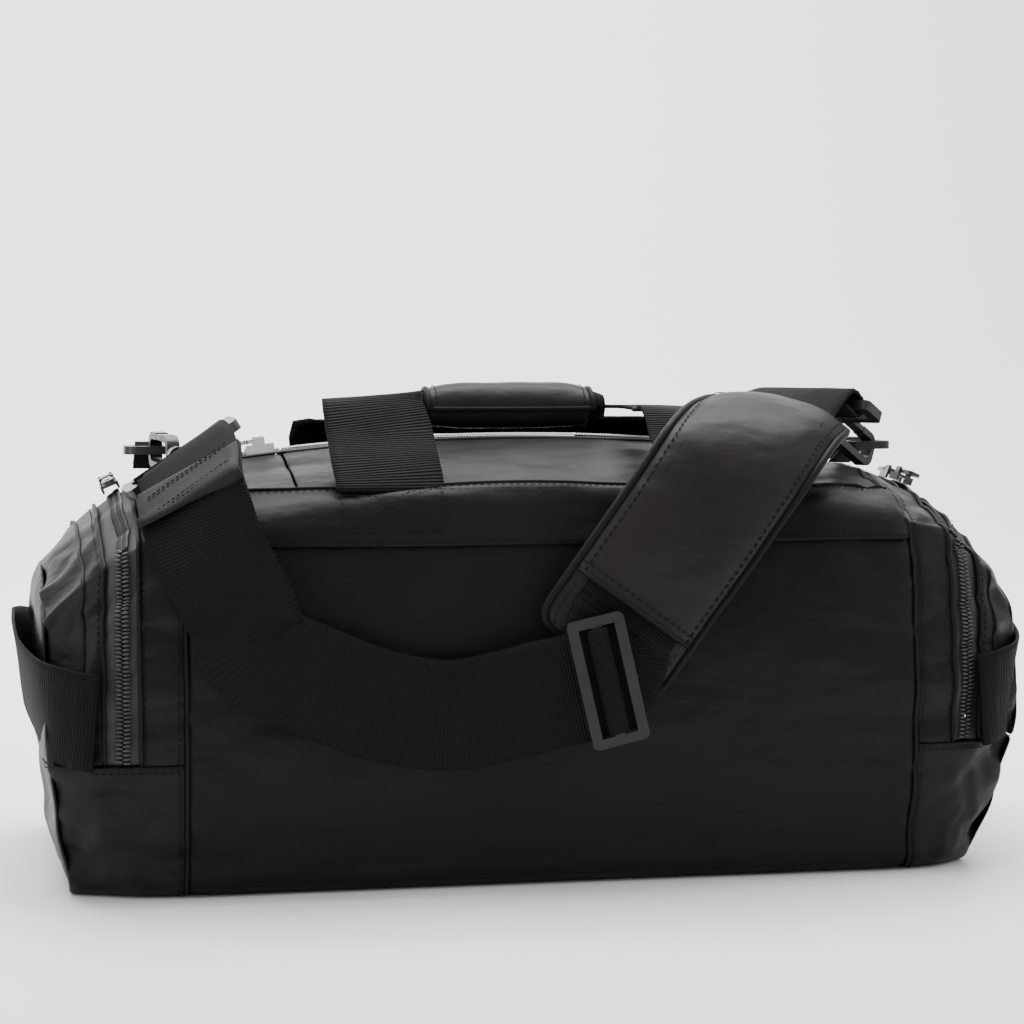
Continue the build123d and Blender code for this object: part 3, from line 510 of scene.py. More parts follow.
def build_nylon(tree, start, end):
    net = Net(tree)
    place = net.coords("Object")
    weave = net.math("MULTIPLY", net.wave(place, 900.0, "X"), net.wave(place, 900.0, "Z"))
    soft = net.noise(net.scaled(place, (9.0, 14.0, 22.0)), 1.0, 3.0)
    crush = net.noise(net.scaled(place, (32.0, 40.0, 70.0)), 1.0, 4.0)
    cloud = net.noise(place, 11.0, 3.0)
    tone = net.span(cloud, 0.1, 0.9)
    net.put(end.inputs["Color"], net.mix(tone, start.outputs["Dark"], start.outputs["Light"]))
    shine = net.math("ADD", start.outputs["Roughness"], net.span(crush, -0.05, 0.05))
    net.put(end.inputs["Roughness"], shine)
    first = net.bump(soft, net.math("MULTIPLY", start.outputs["Wrinkle"], 0.55), 0.006)
    second = net.bump(crush, net.math("MULTIPLY", start.outputs["Wrinkle"], 0.5), 0.0016, first)
    net.put(end.inputs["Normal"], net.bump(weave, 0.12, 0.0002, second))


def build_webbing(tree, start, end):
    net = Net(tree)
    flat = net.coords("UV")
    ribs = net.wave(flat, start.outputs["Ribs"], "Y")
    ends = net.wave(flat, net.math("MULTIPLY", start.outputs["Ribs"], 1.7), "X")
    fuzz = net.noise(flat, 900.0, 3.0)
    wear = net.noise(flat, 40.0, 4.0)
    tone = net.math("ADD", net.math("MULTIPLY", ribs, 0.35), net.math("MULTIPLY", wear, 0.55))
    net.put(end.inputs["Color"], net.mix(tone, start.outputs["Dark"], start.outputs["Light"]))
    net.put(end.inputs["Roughness"], net.span(wear, 0.55, 0.78))
    first = net.bump(ribs, 0.75, 0.0006)
    second = net.bump(ends, 0.35, 0.0003, first)
    net.put(end.inputs["Normal"], net.bump(fuzz, 0.25, 0.0003, second))


def build_solid(tree, start, end):
    net = Net(tree)
    place = net.coords("Object")
    grain = net.noise(place, start.outputs["Grain"], 4.0)
    cloud = net.noise(place, 60.0, 3.0)
    tone = net.span(cloud, 0.0, 1.0)
    net.put(end.inputs["Color"], net.mix(tone, start.outputs["Dark"], start.outputs["Light"]))
    net.put(end.inputs["Roughness"], net.math("ADD", start.outputs["Roughness"], net.span(cloud, -0.08, 0.1)))
    net.put(end.inputs["Normal"], net.bump(grain, start.outputs["Relief"], 0.0004))


def grey(level):
    return level, level, level, 1


NYLON = group("nylon_cloth", [
    ("Dark", COLOUR, (0.0046, 0.0037, 0.0043, 1)), ("Light", COLOUR, (0.0125, 0.01, 0.0114, 1)),
    ("Roughness", FLOAT, 0.42), ("Wrinkle", FLOAT, 0.6)], LOOKS, build_nylon)
RIBBED = group("ribbed_webbing", [
    ("Dark", COLOUR, grey(0.003)), ("Light", COLOUR, (0.0095, 0.0098, 0.0085, 1)),
    ("Ribs", FLOAT, 210.0)], LOOKS, build_webbing)
SOLID = group("solid_finish", [
    ("Dark", COLOUR, grey(0.01)), ("Light", COLOUR, grey(0.02)), ("Roughness", FLOAT, 0.4),
    ("Grain", FLOAT, 900.0), ("Relief", FLOAT, 0.2)], LOOKS, build_solid)


def material(name, tree, metallic=0.0, coat=0.0, ior=1.5, **values):
    """Material whose look comes from a node group; the other values set the group's inputs."""
    made = bpy.data.materials.new(name)
    made.use_nodes = True
    nodes = made.node_tree.nodes
    shader = nodes["Principled BSDF"]
    look = nodes.new("ShaderNodeGroup")
    look.node_tree = tree
    for key, value in values.items():
        look.inputs[key.capitalize()].default_value = value
    for output, target in (("Color", "Base Color"), ("Roughness", "Roughness"), ("Normal", "Normal")):
        made.node_tree.links.new(look.outputs[output], shader.inputs[target])
    shader.inputs["Metallic"].default_value = metallic
    shader.inputs["Coat Weight"].default_value = coat
    shader.inputs["IOR"].default_value = ior
    return made


nylon = material("nylon", NYLON, ior=1.17, wrinkle=1.7, roughness=0.42)
nylon_end = material("nylon_end", NYLON, ior=1.2, wrinkle=1.9, roughness=0.42)
# copy of the nylon for the shoulder pad, its sleeve and the grip wrap; its Light colour, lighter and warmer
# than the bag's nylon, is painted sheen, the overhead light on their upturned tops put into the cloth's colour
nylon_pad_painted_sheen = material("nylon_pad_painted_sheen", NYLON, ior=1.2, wrinkle=1.6, light=(0.024, 0.0195, 0.0198, 1))
binding = material("binding", NYLON, ior=1.18, wrinkle=0.2, roughness=0.5)
webbing = material("webbing", RIBBED, ior=1.16)
tape_cloth = material("zip_tape", NYLON, wrinkle=0.15, roughness=0.62, dark=grey(0.004), light=grey(0.01))
black_coil = material("black_coil", SOLID, roughness=0.36, dark=grey(0.006), light=(0.02, 0.02, 0.021, 1))
white_coil = material("white_coil", SOLID, roughness=0.5, dark=(0.55, 0.54, 0.5, 1),
                      light=(0.8, 0.79, 0.75, 1))
thread = material("thread", SOLID, ior=1.2, roughness=0.6, dark=(0.002, 0.0015, 0.0018, 1),
                  light=(0.012, 0.009, 0.01, 1))
silver = material("silver", SOLID, metallic=1.0, roughness=0.2, dark=(0.62, 0.59, 0.54, 1),
                  light=(0.82, 0.8, 0.75, 1), grain=400.0)
grey_metal = material("grey_metal", SOLID, metallic=1.0, roughness=0.34, dark=(0.035, 0.035, 0.038, 1),
                      light=(0.085, 0.085, 0.09, 1))
black_metal = material("black_metal", SOLID, coat=0.4, roughness=0.32, dark=grey(0.006),
                       light=(0.02, 0.02, 0.021, 1))
black_plastic = material("black_plastic", SOLID, ior=1.36, roughness=0.4, relief=0.3, dark=grey(0.006),
                         light=grey(0.018))
leatherette = material("leatherette", SOLID, ior=1.22, roughness=0.62, relief=0.9, grain=1400.0,
                       dark=(0.006, 0.0056, 0.005, 1), light=(0.02, 0.019, 0.0165, 1))
lining_cloth = material("lining_cloth", NYLON, wrinkle=0.8, roughness=0.6, light=(0.03, 0.03, 0.032, 1))
board_finish = material("board_finish", SOLID, roughness=0.6, relief=0.5)


# ---------------------------------------------------------------- body panels
U_LENGTH = 150.0             # millimetres of cloth to one u, near enough to space a panel's points


def panel(name, x0, x1, u0, u1, cloth, body, slot, nodes, lift=0.0, step=5.5, thick=CLOTH_THICK, under=None):
    """Cloth over x0..x1, between two lines given as u(x)."""
    rows = []
    middle = 0.5 * (x0 + x1)
    count = max(int(abs(u1(middle) - u0(middle)) * U_LENGTH / step), 4)
    for x in spread(x0, x1, step):
        low, high = u0(x), u1(x)
        row = []
        for i in range(count + 1):
            u = low + (high - low) * i / count
            extra = under(x, u) if under else 0.0
            row.append(skin(x, u, lift + extra))
        rows.append(row)
    piece = grid(name, rows)
    face_outward(piece)
    thicken(piece, thick)
    subdivide(piece)
    return finish_piece(piece, cloth, body, slot, *nodes)


def line(z, side=1.0):
    """u(x) of a level line on the front (side -1) or the rear (side 1)."""
    cache = {}

    def at(x):
        if x not in cache:
            cache[x] = side * u_at(x, z)
        return cache[x]
    return at


def fixed(u):
    return lambda x: u


def seam_run(points, lift):
    return [(skin(x, u, lift), normal(x, u)) for x, u in points]


ENDS = (("left", -1.0), ("right", 1.0))
FACES = (("front", -1.0), ("rear", 1.0))
UNDER_BASE = 2.45            # u of the line where a side panel passes under the base panel
CREST_EDGE = 0.075           # u of the top panels' edge beside the main zip
ZIP_GAP = 0.3                # half the gap between the two tapes of an end zip

for word, way in FACES:
    panel(word + "_body", -SIDE_SEAM, SIDE_SEAM, line(YOKE_Z - 1.0, way), fixed(way * UNDER_BASE), nylon,
          "bag", "nylon", [word + "_panel"])
    lip = line(YOKE_Z - 4.0, way)
    panel(word + "_yoke_band", -SIDE_SEAM, SIDE_SEAM, lambda x, way=way: way * fold_u(x), lip, nylon,
          "bag", "nylon", [word + "_yoke"], lift=1.5,
          under=lambda x, u, lip=lip: 0.9 * math.exp(-((u - lip(x)) / 0.02) ** 2))
    panel(word + "_flap_cloth", -MOUTH, MOUTH, lambda x, way=way: way * (fold_u(x) - 0.006),
          fixed(way * CREST_EDGE), nylon, word + "_flap", "nylon", [word + "_top_panel"])
panel("base_cloth", -SIDE_SEAM, SIDE_SEAM, fixed(2.44), fixed(5.56), nylon, "bag", "nylon", ["base_panel"],
      step=9.0)

for word, sign in ENDS:
    for tag, way in FACES:
        panel(word + "_top_end_" + tag, sign * (MOUTH + 0.15), sign * SIDE_SEAM,
              lambda x, way=way: way * (fold_u(x) - 0.002), fixed(way * CREST_EDGE), nylon, "bag", "nylon",
              [word + "_top_end"] if tag == "front" else [])
    low_f, low_r = line(ZIP_LOW_Z, -1.0), line(ZIP_LOW_Z, 1.0)
    panel(word + "_strip", sign * SIDE_SEAM, sign * (END_ZIP - TAPE_EDGE), low_f, low_r, nylon_end,
          "bag", "nylon", [word + "_body_strip"], step=3.4)
    panel(word + "_gusset", sign * SIDE_SEAM, sign * HALF_LENGTH, line(ZIP_LOW_Z + 1.0, 1.0),
          lambda x: 8.0 - u_at(x, ZIP_LOW_Z + 1.0), nylon_end, "bag", "nylon", [word + "_lower_gusset"],
          step=3.6)
    lip_f, lip_r = line(ZIP_LOW_Z + 1.0, -1.0), line(ZIP_LOW_Z + 1.0, 1.0)
    panel(word + "_end_cloth", sign * (END_ZIP + TAPE_EDGE), sign * HALF_LENGTH, lip_f, lip_r, nylon_end,
          word + "_end", "nylon", [word + "_end_panel"], step=3.4)
    panel(word + "_inner_tape", sign * (END_ZIP - TAPE_EDGE - 1), sign * (END_ZIP - ZIP_GAP), lip_f, lip_r,
          tape_cloth, "bag", "end_zip", [word + "_end_inner_tape"], lift=-1.3, thick=TAPE_THICK, step=3.0)
    panel(word + "_outer_tape", sign * (END_ZIP + ZIP_GAP), sign * (END_ZIP + TAPE_EDGE + 1), lip_f, lip_r,
          tape_cloth, word + "_end", "end_zip", [word + "_end_outer_tape"], lift=-1.3, thick=TAPE_THICK,
          step=3.0)


def half_width(z):
    """Half-depth of the closed end at height z."""
    base, shoulder_z = station(HALF_LENGTH)[0], station(HALF_LENGTH)[4]
    if z >= shoulder_z:
        return abs(outline(HALF_LENGTH, u_between(HALF_LENGTH, z, 0.0, 1.0))[0])
    if z <= CORNER:
        return base - CORNER + math.sqrt(max(CORNER ** 2 - (CORNER - z) ** 2, 0.0))
    return outline(HALF_LENGTH, u_at(HALF_LENGTH, z))[0]


CAP_COLUMNS = 48


def end_cap(name, sign, z0, z1, body):
    """The upright face that closes an end, between two heights."""
    rows = []
    top = station(HALF_LENGTH)[5]
    for z in spread(z0, z1, 4.0):
        width = half_width(z)
        row = []
        for i in range(CAP_COLUMNS + 1):
            part = -1 + 2 * i / CAP_COLUMNS
            y = width * part
            edge = (1 - abs(part) ** 6) * ease(z, 0.0, 12.0) * ease(top - z, 0.0, 14.0)
            fold = noise.noise(Vector((y * 0.03, z * 0.04 - y * 0.02, 2.0 + sign))) * 3.0
            crease = noise.noise(Vector((y * 0.07 + z * 0.03, z * 0.08, 5.0 + sign))) * 1.3
            face = abs(end_x(sign * HALF_LENGTH, z))
            row.append(Vector((sign * (face - 1.0 + edge * (3.0 + fold + crease)), y, z)))
        rows.append(row)
    piece = grid(name, rows)
    face_outward(piece)
    thicken(piece, CLOTH_THICK)
    subdivide(piece)
    return finish_piece(piece, nylon_end, body, "nylon")


for word, sign in ENDS:
    end_cap(word + "_end_face", sign, ZIP_LOW_Z + 0.6, station(HALF_LENGTH)[5] - 0.05, word + "_end")
    end_cap(word + "_gusset_face", sign, 0.2, ZIP_LOW_Z, "bag")

# ---------------------------------------------------------------- seams and stitching
SEAM_LIFT = 0.5


def arch(x, z_low, step=0.03):
    """Run over the top at x, from z_low at the front to z_low at the rear."""
    edge = u_at(x, z_low)
    return [(x, u) for u in spread(-edge, edge, step)]


for word, sign in ENDS:
    x = sign * SIDE_SEAM
    ring = [(x, u) for u in spread(-3.2, 3.2, 0.03)]
    cord_line = tube(word + "_side_seam", [skin(a, u, 0.4) for a, u in ring], 1.0)
    finish_piece(cord_line, binding, "bag", "nylon")
    rows = [seam_run([(x + sign * 3.2, u) for _, u in ring], SEAM_LIFT)]
    inner = arch(sign * (END_ZIP - TAPE_EDGE - 1.8), ZIP_LOW_Z + 2.0)
    rows.append(seam_run(inner, SEAM_LIFT))
    low = [(sign * a, -u_at(a, ZIP_LOW_Z - 2.5)) for a in spread(SIDE_SEAM + 2, END_SEAM, 4.0)]
    rows.append(seam_run(low, SEAM_LIFT))
    rows.append(seam_run([(a, -u) for a, u in low], SEAM_LIFT))
    finish_piece(stitches(word + "_side_stitches", rows), thread, "bag", "nylon")
    edge = [skin(a, u, 0.2) for a, u in arch(sign * (END_ZIP - TAPE_EDGE), ZIP_LOW_Z)]
    finish_piece(tube(word + "_strip_edge", edge, 1.1), binding, "bag", "nylon")
    edge = [skin(a, u, 0.2) for a, u in arch(sign * (END_ZIP + TAPE_EDGE), ZIP_LOW_Z + 1.5)]
    finish_piece(tube(word + "_end_edge", edge, 1.1), binding, word + "_end", "nylon")
    ridge = [skin(a, u, 0.3) for a, u in arch(sign * (END_SEAM + 3.0), ZIP_LOW_Z + 2.0)]
    finish_piece(tube(word + "_end_seam", ridge, 0.9), binding, word + "_end", "nylon")
    outer_rows = [seam_run(arch(sign * (END_ZIP + TAPE_EDGE + 2.2), ZIP_LOW_Z + 2.0), SEAM_LIFT)]
    finish_piece(stitches(word + "_end_stitches", outer_rows), thread, word + "_end", "nylon")
    level = [skin(sign * a, -u_at(a, ZIP_LOW_Z), 0.3) for a in spread(SIDE_SEAM, HALF_LENGTH, 4.0)]
    finish_piece(tube(word + "_gusset_seam", level, 0.8), binding, "bag", "nylon")

for word, way in FACES:
    between_seams = spread(-SIDE_SEAM + 3, SIDE_SEAM - 3, 6.0)
    rows = [seam_run([(x, way * u_at(x, YOKE_Z - 1.5)) for x in between_seams], 2.3),
            seam_run([(x, way * (fold_u(x) + 0.045)) for x in between_seams], 2.0)]
    finish_piece(stitches(word + "_yoke_stitches", rows), thread, "bag", "nylon")
    fold = [skin(x, way * (fold_u(x) + 0.008), 1.5) for x in spread(-SIDE_SEAM, SIDE_SEAM, 6.0)]
    finish_piece(tube(word + "_yoke_fold", fold, 0.9), binding, "bag", "nylon")
    rows = [seam_run([(x, way * 0.12) for x in spread(-MOUTH + 2, MOUTH - 2, 6.0)], SEAM_LIFT)]
    finish_piece(stitches(word + "_flap_stitches", rows), thread, word + "_flap", "nylon")

# ---------------------------------------------------------------- zips
COIL_PITCH = 1.45            # main zip
END_COIL_PITCH = 1.9
TOOTH_LEAN = 0.35            # how far a tooth leans along the zip
MAIN_TOOTH = (2.5, 0.7)      # half-width of a tooth's reach, and its radius
END_TOOTH = (3.4, 0.8)
TAPE_HALF = 9.5


def coil(name, places, tooth, finish, body, slot):
    """Teeth of one half of a coil zip. Each place is (point, along, out, side)."""
    half, size = tooth
    whole = bmesh.new()
    for start in range(0, len(places), BATCH):
        part = bmesh.new()
        for point, along, out, side in places[start:start + BATCH]:
            reach = side * half + along * TOOTH_LEAN
            turn = Matrix((along, side.cross(along), side)).transposed().to_4x4()
            up = 1.0 if turn.col[1].to_3d().dot(out) > 0 else -1.0
            shape = Matrix.Diagonal((size * MM, size * MM, half * 0.62 * MM, 1.0))
            lean = Matrix.Identity(4)
            lean[0][2] = TOOTH_LEAN / half
            place = Matrix.Translation((point + reach * 0.5 + out * size * 0.9) * MM)
            turn.col[1] *= up
            bmesh.ops.create_uvsphere(part, u_segments=6, v_segments=5, radius=1.0,
                                      matrix=place @ turn @ lean @ shape)
        append(whole, part)
    bmesh.ops.recalc_face_normals(whole, faces=whole.faces)
    return finish_piece(as_piece(name, whole), finish, body, slot)


def crest_places(x0, x1, way, shift):
    """Teeth along the crown's arc. shift moves one half's teeth between the other's."""
    places = []
    count = int(abs(x1 - x0) / COIL_PITCH)
    for i in range(count):
        x = x0 + (x1 - x0) * (i + 0.5 + shift) / count
        out = Vector((x / CROWN_RADIUS, 0, 1)).normalized()
        point = Vector((0, 0, TOP_Z - CROWN_RADIUS)) + out * (CROWN_RADIUS + 0.35)
        along = Vector((out.z, 0, -out.x))
        places.append((point, along, out, Vector((0, way, 0))))
    return places


def tape_strip(name, x0, x1, y0, y1, body, nodes):
    """Zip tape along the crown's arc."""
    rows = []
    for x in spread(x0, x1, 6.0):
        out = Vector((x / CROWN_RADIUS, 0, 1)).normalized()
        base = Vector((0, 0, TOP_Z - CROWN_RADIUS)) + out * (CROWN_RADIUS - 0.1)
        rows.append([base + Vector((0, y0 + (y1 - y0) * j / 4, 0)) for j in range(5)])
    piece = grid(name, rows)
    face_outward(piece)
    thicken(piece, TAPE_THICK)
    return finish_piece(piece, tape_cloth, body, "main_zip", *nodes)


ZIP_END = 163.0
for word, way in FACES:
    edges = sorted((way * 0.2, way * TAPE_HALF))
    tape_strip(word + "_zip_tape", -MOUTH, MOUTH, edges[0], edges[1], word + "_flap", [word + "_zip_half"])
    coil(word + "_zip_coil", crest_places(-MOUTH + 0.5, MOUTH - 0.5, way, 0.25 * way), MAIN_TOOTH, white_coil,
         word + "_flap", "main_zip")
for name, x0, x1, nodes in (("left", -ZIP_END, -MOUTH - 0.6, ["main_zip_ends"]),
                            ("right", MOUTH + 0.6, ZIP_END, [])):
    tape_strip(name + "_closed_tape", x0, x1, -TAPE_HALF, TAPE_HALF, "bag", nodes)
    for tag, way in (("_a", -1.0), ("_b", 1.0)):
        coil(name + "_closed_coil" + tag, crest_places(x0, x1, way, 0.25 * way), MAIN_TOOTH, white_coil,
             "bag", "main_zip")


def end_places(sign, way):
    """Teeth along an end zip. way is -1 towards the bag and 1 towards the end panel."""
    x = sign * END_ZIP
    edge = u_at(END_ZIP, ZIP_LOW_Z + 2.0)
    run = [(skin(x, u, -1.2), normal(x, u)) for u in spread(-edge, edge, 0.012)]
    places = []
    left = 0.9 + 0.45 * way
    for (a, na), (b, nb) in zip(run, run[1:]):
        span = (b - a).length
        while left < span:
            part = left / span
            along = (b - a).normalized()
            out = na.lerp(nb, part).normalized()
            side = along.cross(out).normalized()
            if side.x * sign * way < 0:
                side = -side
            places.append((a.lerp(b, part), along, out, side))
            left += END_COIL_PITCH
        left -= span
    return places


for word, sign in ENDS:
    coil(word + "_inner_coil", end_places(sign, -1.0), END_TOOTH, black_coil, "bag", "end_zip")
    coil(word + "_outer_coil", end_places(sign, 1.0), END_TOOTH, black_coil, word + "_end", "end_zip")


# ---------------------------------------------------------------- lining
def lining_lift(_, u):
    """The lining rises off the side as it nears the base board."""
    return 3.4 * ease(abs((u + 4.0) % 8.0 - 4.0), 1.9, 2.6)


LINING_X = 168.0
LINING_TOP = 150.0
panel("lining_wall", -LINING_X, LINING_X, line(LINING_TOP, 1.0), lambda x: 8.0 - u_at(x, LINING_TOP),
      lining_cloth, "bag", "lining", ["main_lining"], lift=-5.6, step=11.0, thick=LINING_THICK,
      under=lining_lift)
for word, sign in ENDS:
    rows = []
    for z in spread(2.6, LINING_TOP, 9.0):
        width = outline(LINING_X, u_at(LINING_X, max(z, CORNER + 1.0)))[0] - 7.0
        if z < CORNER:
            width -= CORNER - z
        row = []
        for i in range(25):
            wave = noise.noise(Vector((i * 0.35, z * 0.03, sign * 4))) * 1.4
            row.append(Vector((sign * (LINING_X + 0.4 + wave), width * (i / 12.0 - 1.0), z)))
        rows.append(row)
    wall = grid(word + "_lining_end", rows)
    face_outward(wall)
    thicken(wall, LINING_THICK)
    finish_piece(wall, lining_cloth, "bag", "lining")


# ---------------------------------------------------------------- webbing
def strip(name, stations, width, thick=WEB_THICK, step=3.0, curl=0.0):
    """Flat webbing through (point, across[, width]) stations."""
    points = [Vector(s[0]) for s in stations]
    acrosses = [Vector(s[1]).normalized() for s in stations]
    widths = [s[2] if len(s) > 2 else width for s in stations]
    run, sides, sizes = [], [], []
    for i in range(len(points) - 1):
        p0, p1 = points[max(i - 1, 0)], points[i]
        p2, p3 = points[i + 1], points[min(i + 2, len(points) - 1)]
        count = max(int((p2 - p1).length / step), 2)
        for j in range(count):
            t = j / count
            run.append(between(p0, p1, p2, p3, t))
            sides.append(acrosses[i].lerp(acrosses[i + 1], t))
            sizes.append(widths[i] + (widths[i + 1] - widths[i]) * ease(t, 0.0, 1.0))
    run.append(points[-1])
    sides.append(acrosses[-1])
    sizes.append(widths[-1])
    rows, uvs = [], []
    length = 0.0
    for i, point in enumerate(run):
        if i:
            length += (point - run[i - 1]).length
        along = (run[min(i + 1, len(run) - 1)] - run[max(i - 1, 0)]).normalized()
        side = (sides[i] - along * along.dot(sides[i])).normalized()
        out = along.cross(side)
        row = []
        for j in range(13):
            part = j / 6.0 - 1.0
            wave = noise.noise(Vector((length * 0.03, part * 1.3, sizes[0] * 0.1))) * 0.35
            lift = curl * (1 - part * part) + wave
            row.append(point + side * (sizes[i] / 2 * part) + out * lift)
            uvs.append((part * sizes[i] / 2 * MM, length * MM))
        rows.append(row)
    piece = grid(name, rows, uvs=uvs)
    thicken(piece, thick, inward=False)
    return piece, list(zip(run, sides))


HOOK_LENGTH = 48.0
RING_X, RING_Y, RING_Z, RING_REACH = 182.0, 10.0, 200.4, 22.0
HOOK_WAY = {"left": Vector((-0.18, 0.982, 0.05)).normalized(),
            "right": Vector((0.678, 0.593, -0.434)).normalized()}
LOOP_ACROSS = {"left": Vector((0.83, 0.12, 0.545)), "right": Vector((-0.66, 0.75, 0.0))}
CONTACT = {"left": Vector((-RING_X + 5.0, RING_Y - RING_REACH, RING_Z)),
           "right": Vector((RING_X - 5.0, RING_Y - RING_REACH, RING_Z))}
BAR = {side: CONTACT[side] - HOOK_WAY[side] * HOOK_LENGTH for side in ("left", "right")}
BAR_REACH = 4.75
LAYER = 1.8
GLIDE_MIDDLE = Vector((17.0, -131.4, 99.0))
GLIDE_WAY = Vector((0.974, 0, 0.225))
GLIDE_ACROSS = Vector((-0.225, 0, 0.974))
DRAPE = [((-166.5, -89.0, 191.0), (0.82, 0.06, 0.57)), ((-168.0, -114.0, 181.0), (0.80, 0.0, 0.60)),
         ((-163.0, -122.5, 163.0), (0.80, 0.0, 0.60)), ((-156.0, -125.0, 148.0), (0.80, 0.0, 0.60)),
         ((-148.0, -126.0, 132.0), (0.60, 0.0, 0.80)), ((-141.0, -126.5, 114.0), (0.25, 0.0, 0.97)),
         ((-118.0, -126.5, 102.0), (0.18, 0.0, 0.98)), ((-85.0, -126.5, 89.0), (0.15, 0.0, 0.99)),
         ((-55.0, -127.0, 84.0), (0.0, 0.0, 1.0)), ((-31.0, -129.0, 87.5), (-0.2, 0.0, 0.98))]
PAD_RUN = [((13.0, -129.6, 106.0), (-0.83, 0.0, 0.555)), ((26.0, -129.6, 124.0), (-0.83, 0.0, 0.555)),
           ((42.0, -129.4, 146.0), (-0.83, 0.0, 0.555)), ((60.0, -127.5, 170.0), (-0.83, 0.05, 0.55)),
           ((78.0, -121.0, 194.0), (-0.84, 0.15, 0.52)), ((94.0, -106.0, 211.0), (-0.84, 0.36, 0.40)),
           ((109.0, -85.0, 220.0), (-0.78, 0.54, 0.30)), ((123.0, -62.0, 222.5), (-0.70, 0.68, 0.22))]


def bar_wrap(side, along, start, stop):
    across = LOOP_ACROSS[side]
    along = (along - across * (along.dot(across) / across.dot(across))).normalized()
    out = along.cross(across).normalized()
    marks = [(-start, 1.0), (0.0, 1.0), (0.3 * BAR_REACH, 1.0), (BAR_REACH, 0.3), (BAR_REACH, -0.3),
             (0.3 * BAR_REACH, -1.0), (0.0, -1.0), (-stop, -1.0)]
    return [(BAR[side] + along * ahead + out * (BAR_REACH * part), across) for ahead, part in marks]


def shifted(path, offset):
    points = [Vector(point) for point, _ in path]
    moved = []
    for i, (_, across) in enumerate(path):
        along = points[min(i + 1, len(points) - 1)] - points[max(i - 1, 0)]
        moved.append((points[i] + along.cross(Vector(across)).normalized() * offset, Vector(across)))
    return moved


def on_glide(*steps):
    return [(GLIDE_MIDDLE + GLIDE_WAY * step, GLIDE_ACROSS) for step in steps]


leave = (Vector(DRAPE[0][0]) - BAR["left"]).normalized()
left_wrap = bar_wrap("left", leave * -1.0, 8.0, 8.0)
front_path = left_wrap[6:] + shifted(DRAPE + on_glide(-30.0, 0.0, 11.0), LAYER)
mouth = (Vector(PAD_RUN[1][0]) * 1.15 - Vector(PAD_RUN[2][0]) * 0.15, Vector(PAD_RUN[1][1]))
rear_path = left_wrap[5::-1] + shifted(DRAPE + on_glide(-30.0, 0.0), -LAYER) + [mouth] + PAD_RUN[1:]
rear_path += bar_wrap("right", HOOK_WAY["right"], 9.0, 12.0)
front_strap, _ = strip("strap_front", front_path, WEB)
finish_piece(front_strap, webbing, "strap", "webbing", "strap_front_layer")
rear_strap, _ = strip("strap_rear", rear_path, WEB)
finish_piece(rear_strap, webbing, "strap", "webbing", "strap_rear_layer")

# keeper patch, sewn round the doubled end by the left hook
keeper_path = shifted(DRAPE[:3], 4.6)
keeper_path = [keeper_path[0], (keeper_path[0][0].lerp(keeper_path[1][0], 0.5), keeper_path[0][1]),
               keeper_path[1], (keeper_path[1][0].lerp(keeper_path[2][0], 0.12), keeper_path[1][1])]
keeper, _ = strip("keeper", keeper_path, WEB + 2.0, thick=1.4, curl=0.4)
finish_piece(keeper, leatherette, "strap", "leatherette", "strap_keeper")


def across_run(place, across, width, out, inset=3.0):
    half = width / 2 - inset
    return [(place - across * half, out), (place + across * half, out)]


keeper_out = (keeper_path[2][0] - keeper_path[0][0]).cross(keeper_path[0][1]).normalized()
rows = []
for part in (0.12, 0.22, 0.80, 0.92):
    place = keeper_path[0][0].lerp(keeper_path[2][0], part) + keeper_out * 1.2
    rows.append(across_run(place, keeper_path[0][1].normalized(), WEB, keeper_out))
finish_piece(stitches("keeper_stitches", rows, 2.6, 1.8), thread, "strap", "leatherette")

# sewn end over the tri-glide's middle bar
glide_out = GLIDE_WAY.cross(GLIDE_ACROSS).normalized()
plate = GLIDE_MIDDLE + glide_out * (LAYER + WEB_THICK / 2 + 0.4 + 1.3)
turned = [(plate + GLIDE_WAY * ahead + glide_out * rise, GLIDE_ACROSS)
          for ahead, rise in ((-4.4, -1.4), (-4.0, 0.8), (-2.4, 2.4), (2.4, 2.4), (4.0, 0.8), (4.4, -1.4))]
end_loop, _ = strip("strap_end", turned, WEB - 1.0, thick=1.4, step=1.0)
finish_piece(end_loop, webbing, "glide", "webbing", "strap_end_loop")


# ---------------------------------------------------------------- shoulder pad
PAD_HALF = 34.0


def pad_frames(path, step=4.0):
    points = curve_points([Vector(p) for p, _ in path], step)
    marks = [Vector(p) for p, _ in path]
    frames = []
    length = 0.0
    for i, point in enumerate(points):
        if i:
            length += (point - points[i - 1]).length
        along = (points[min(i + 1, len(points) - 1)] - points[max(i - 1, 0)]).normalized()
        order = sorted(range(len(marks)), key=lambda k: (marks[k] - point).length)[:2]
        d0, d1 = (marks[order[0]] - point).length, (marks[order[1]] - point).length
        weight = d1 / max(d0 + d1, 1e-6)
        nearest, second = (Vector(path[k][1]).normalized() for k in order)
        side = nearest * weight + second * (1 - weight)
        side = (side - along * along.dot(side)).normalized()
        frames.append((point, along, side, along.cross(side).normalized(), length))
    return frames


def rounded(length, total, radius):
    """How much narrower the pad is near its two ends."""
    near = min(length, total - length)
    return radius - math.sqrt(max(radius ** 2 - max(radius - near, 0.0) ** 2, 0.0))


def pad_point(frame, total, part, height, corner=11.0):
    point, _, side, out, length = frame
    half = PAD_HALF - rounded(length, total, corner)
    return point + side * (half * part) + out * height


